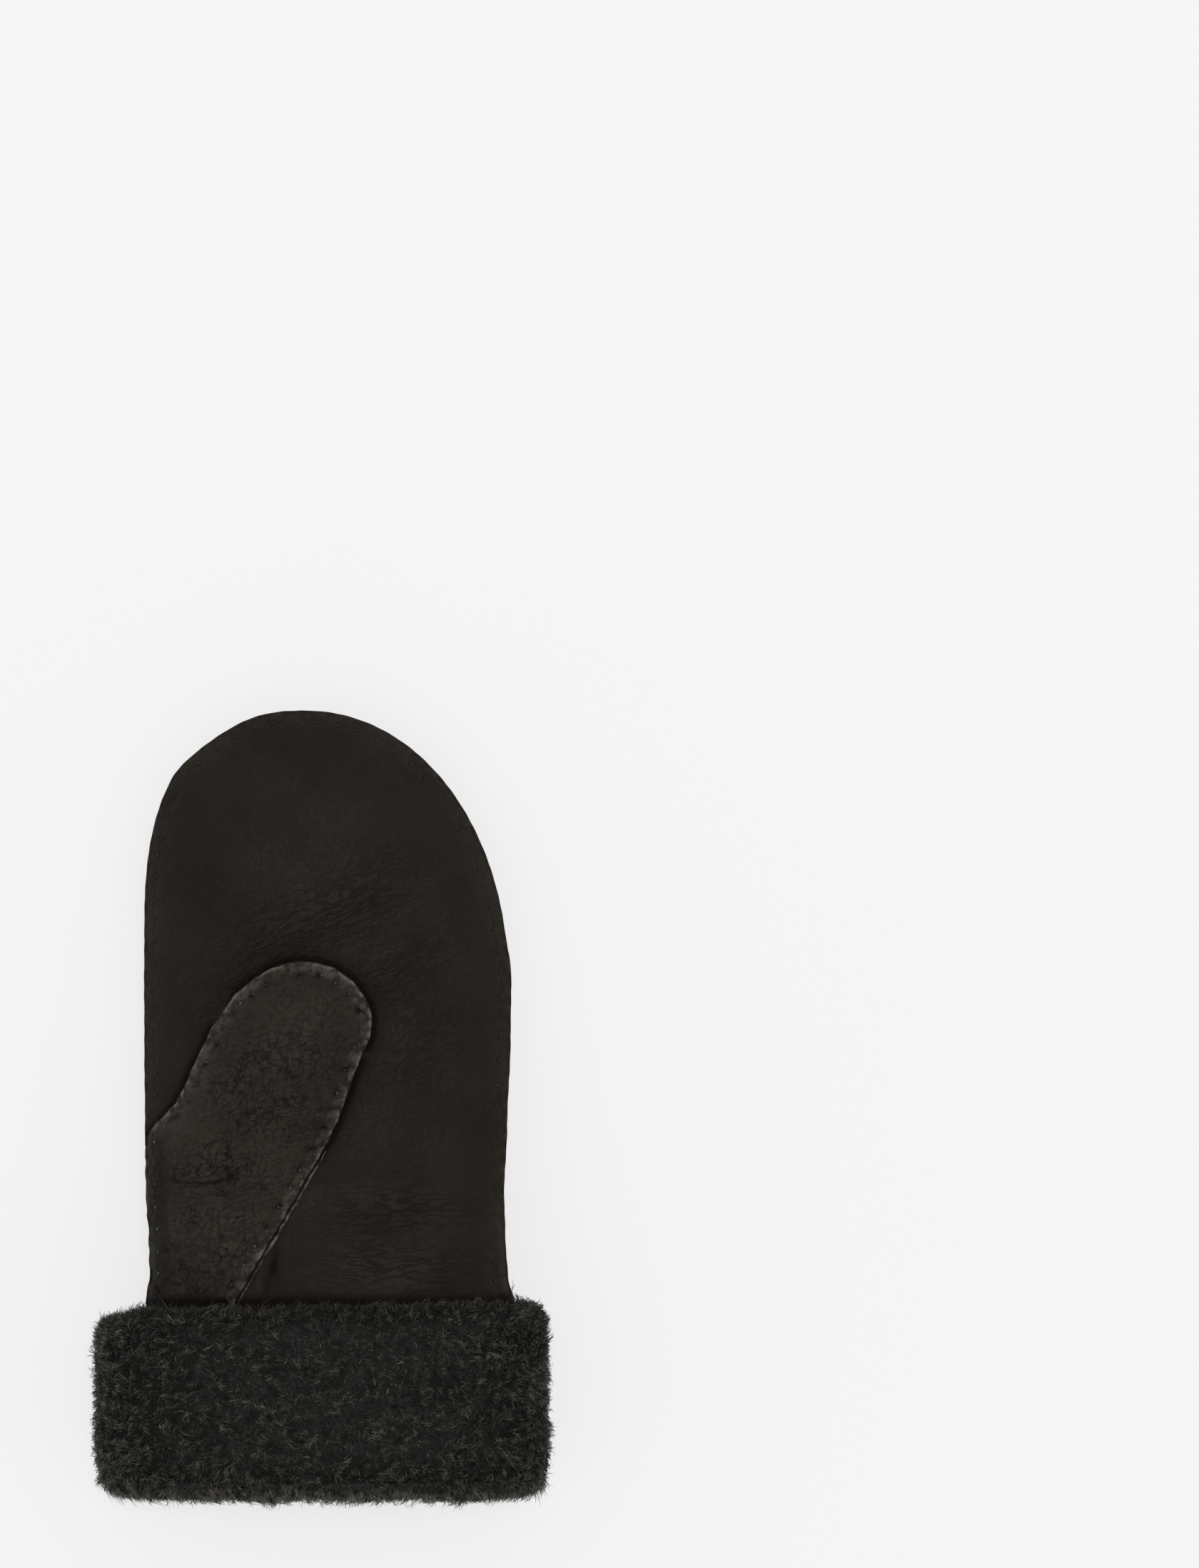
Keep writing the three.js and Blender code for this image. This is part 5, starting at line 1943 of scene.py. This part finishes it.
@dataclass(frozen=True)
class Hide(Finish):
    """Soft black hide with a fine grain, wrinkles, painted shade in its creases and wrinkle valleys, and a
    paler cut edge.
    """

    dark: tuple = colour(0.01, 0.0077, 0.0056)
    light: tuple = colour(0.0178, 0.0141, 0.0106)
    cut: tuple = colour(0.05, 0.045, 0.038)
    roughness: float = 0.5
    gloss: float = 0.06

    def fill(self, graph: Graph) -> None:
        """Mottle the colour, paint shade where the crease mark says, pale the cut edge and raise the relief.

        Args:
            graph: The material's graph.
        """
        g = graph
        place = g.place()
        group = g.node("ShaderNodeGroup", node_tree=Groups.hide_relief())
        g.tree.links.new(place, group.inputs["Place"])
        for title in ("Net", "Slant", "Level"):
            g.tree.links.new(g.attribute(title.lower()), group.inputs[title])
        mottled = g.blend(group.outputs["Tone"], self.dark, self.light)
        # painted shade: the crease mark blends the colour toward a deeper dark
        deep = colour(*(0.55 * part for part in self.dark[:3]))
        with_painted_shade = g.blend(g.ramp(g.attribute("crease"), 0.15, 0.9), mottled, deep)
        torn = g.ramp(g.noise(place, 380.0, 3.0), 0.38, 0.66)
        paled = g.blend(g.times(g.attribute("rim"), torn), with_painted_shade, self.cut)
        rough = g.less(self.roughness + 0.1, g.times(group.outputs["Tone"], 0.2))
        rough = g.add(rough, g.times(g.attribute("crease"), 0.45))
        g.close({
            "Base Color": paled, "Roughness": rough, "Specular IOR Level": self.gloss,
            "Normal": g.bump(group.outputs["Height"], 1.0, MM),
        })


@dataclass(frozen=True)
class Thread(Finish):
    """Dark waxed thread, a little paler than the hide."""

    dark: tuple = colour(0.016, 0.015, 0.014)
    light: tuple = colour(0.036, 0.034, 0.031)

    def fill(self, graph: Graph) -> None:
        """Vary the colour along the thread and twist its plies.

        Args:
            graph: The material's graph.
        """
        g = graph
        place = g.place()
        tone = g.blend(g.ramp(g.noise(place, 600.0), 0.3, 0.7), self.dark, self.light)
        plies = g.node("ShaderNodeTexWave", {"Vector": place, "Scale": 900.0, "Distortion": 1.0})
        g.close({
            "Base Color": tone, "Roughness": 0.6, "Specular IOR Level": 0.3,
            "Normal": g.bump(plies.outputs["Fac"], 0.5, 0.1 * MM),
        })


@dataclass(frozen=True)
class Wool(Finish):
    """Dense black wool whose fibres differ a little, with painted shade toward their roots deep in the pile,
    so they are palest at the tips.
    """

    root: tuple = colour(0.0031, 0.0026, 0.0018)
    dark: tuple = colour(0.0063, 0.0054, 0.0036)
    light: tuple = colour(0.146, 0.137, 0.114)

    def fill(self, graph: Graph) -> None:
        """Mix the fibres' own tones, and darken them toward their roots with painted shade deep in the pile.

        Args:
            graph: The material's graph.
        """
        g = graph
        place = g.place()
        share = g.times(g.attribute("tone"), g.ramp(g.noise(place, 330.0), 0.34, 0.66))
        own = g.blend(share, self.dark, self.light)
        g.close({
            # painted shade: the root colour stands for the shade deep in the pile, and the backing takes it
            # whole
            "Base Color": g.blend(g.ramp(g.attribute("tip"), 0.0, 0.75), self.root, own),
            "Roughness": 0.55, "Specular IOR Level": 0.25, "Sheen Weight": 0.05, "Sheen Roughness": 0.5,
            "Normal": g.bump(g.noise(place, 1400.0), 0.6, 0.4 * MM),
        })


@dataclass(frozen=True)
class Card(Finish):
    """The plain pale surface that the mitten lies on."""

    tint: tuple = colour(0.22, 0.22, 0.22)
    glow: float = 0.687

    def fill(self, graph: Graph) -> None:
        """Give the card a faint unevenness.

        Args:
            graph: The material's graph.
        """
        g = graph
        place = g.place()
        low = colour(*(0.995 * part for part in self.tint[:3]))
        g.close({
            "Base Color": g.blend(g.noise(place, 3.0), low, self.tint), "Roughness": 0.9,
            "Specular IOR Level": 0.0, "Emission Color": WHITE, "Emission Strength": self.glow,
        })


@dataclass
class Stage:
    """The pale floor, the soft light and the camera over the mitten."""

    eye: tuple = (0.0911, 0.1061, 2.881)
    lens: float = 200.0
    sensor: float = 36.0
    world: float = 0.8
    sun: float = 0.8
    sun_width: float = 12.0
    sun_from: tuple = (0.06, 0.12, 1.0)
    reach: float = 4000.0

    def floor(self) -> None:
        """Lay the pale card: a flat grid under the mitten."""
        across = np.linspace(-1, 1, 9) * self.reach
        x, y = np.meshgrid(across, across)
        skin = Skin.from_grid(np.stack([x, y, 0 * x], axis=-1), False, {})
        card = skin.to_object("floor", Place(0.0, 0.0))
        card.data.materials.append(Card("pale card", "").material())

    def light(self) -> None:
        """Light evenly from all round, with a soft sun from nearly straight above."""
        world = bpy.data.worlds.new("soft light")
        world.use_nodes = True
        sky = world.node_tree.nodes["Background"]
        sky.inputs["Color"].default_value = WHITE
        sky.inputs["Strength"].default_value = self.world
        bpy.context.scene.world = world
        lamp = bpy.data.lights.new("window", "SUN")
        lamp.energy = self.sun
        lamp.angle = math.radians(self.sun_width)
        holder = bpy.data.objects.new("window", lamp)
        holder.rotation_euler = Vector(self.sun_from).to_track_quat("Z", "Y").to_euler()
        bpy.context.scene.collection.objects.link(holder)
        bpy.context.scene.view_settings.view_transform = "Standard"

    def camera(self) -> None:
        """Look straight down with a long lens, finger tip up."""
        lens = bpy.data.cameras.new("camera")
        lens.lens = self.lens
        lens.sensor_width = self.sensor
        lens.sensor_height = self.sensor
        lens.sensor_fit = "VERTICAL"
        lens.clip_end = 100.0
        eye = bpy.data.objects.new("camera", lens)
        eye.location = self.eye
        bpy.context.scene.collection.objects.link(eye)
        bpy.context.scene.camera = eye

    def build(self) -> None:
        """Make the floor, the lights and the camera."""
        self.floor()
        self.light()
        self.camera()


def main() -> None:
    """Place the pieces by the back panel's box, build them in order, then build the stage."""
    logging.basicConfig(level=logging.INFO, format="%(name)s: %(message)s")
    hand, stitching = HandForm(), Stitching()
    low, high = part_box("back_panel")
    place = Place(low[0] / MM + hand.width / 2, high[1] / MM - hand.length)
    shared = (place, hand, stitching)
    leather = Hide("black hide", "hand_leather")
    thumb_leather = Hide(
        "black hide of the thumb", "thumb_leather",
        gloss=0.045, dark=colour(0.0105, 0.0083, 0.0062), light=colour(0.0303, 0.0244, 0.0192),
        cut=colour(0.12, 0.106, 0.092),
    )
    thread = Thread("waxed thread", "hand_leather")
    pale_thread = Thread("paler waxed thread", "hand_leather", light=colour(0.16, 0.15, 0.14))
    thumb, cuff = ThumbForm(hand), CuffForm(hand)
    thumb_stitching = Stitching(inset=3.8, hole=1.0, pull=0.8, groove=0.06, puff=0.5, draw=0.3, sunk_edge=0.0)
    Palm(*shared, thumb).build(leather, thread)
    Back(*shared).build(leather, thread)
    Thumb(place, hand, thumb_stitching, thumb, stitching).build(thumb_leather, pale_thread)
    SeamEdge(*shared, thumb).build(thumb_leather)
    CuffHide(*shared, cuff).build(leather)
    Fleece(*shared, cuff).build(Wool("black wool", "wool"))
    Stage().build()


if __name__ == "__main__":
    main()
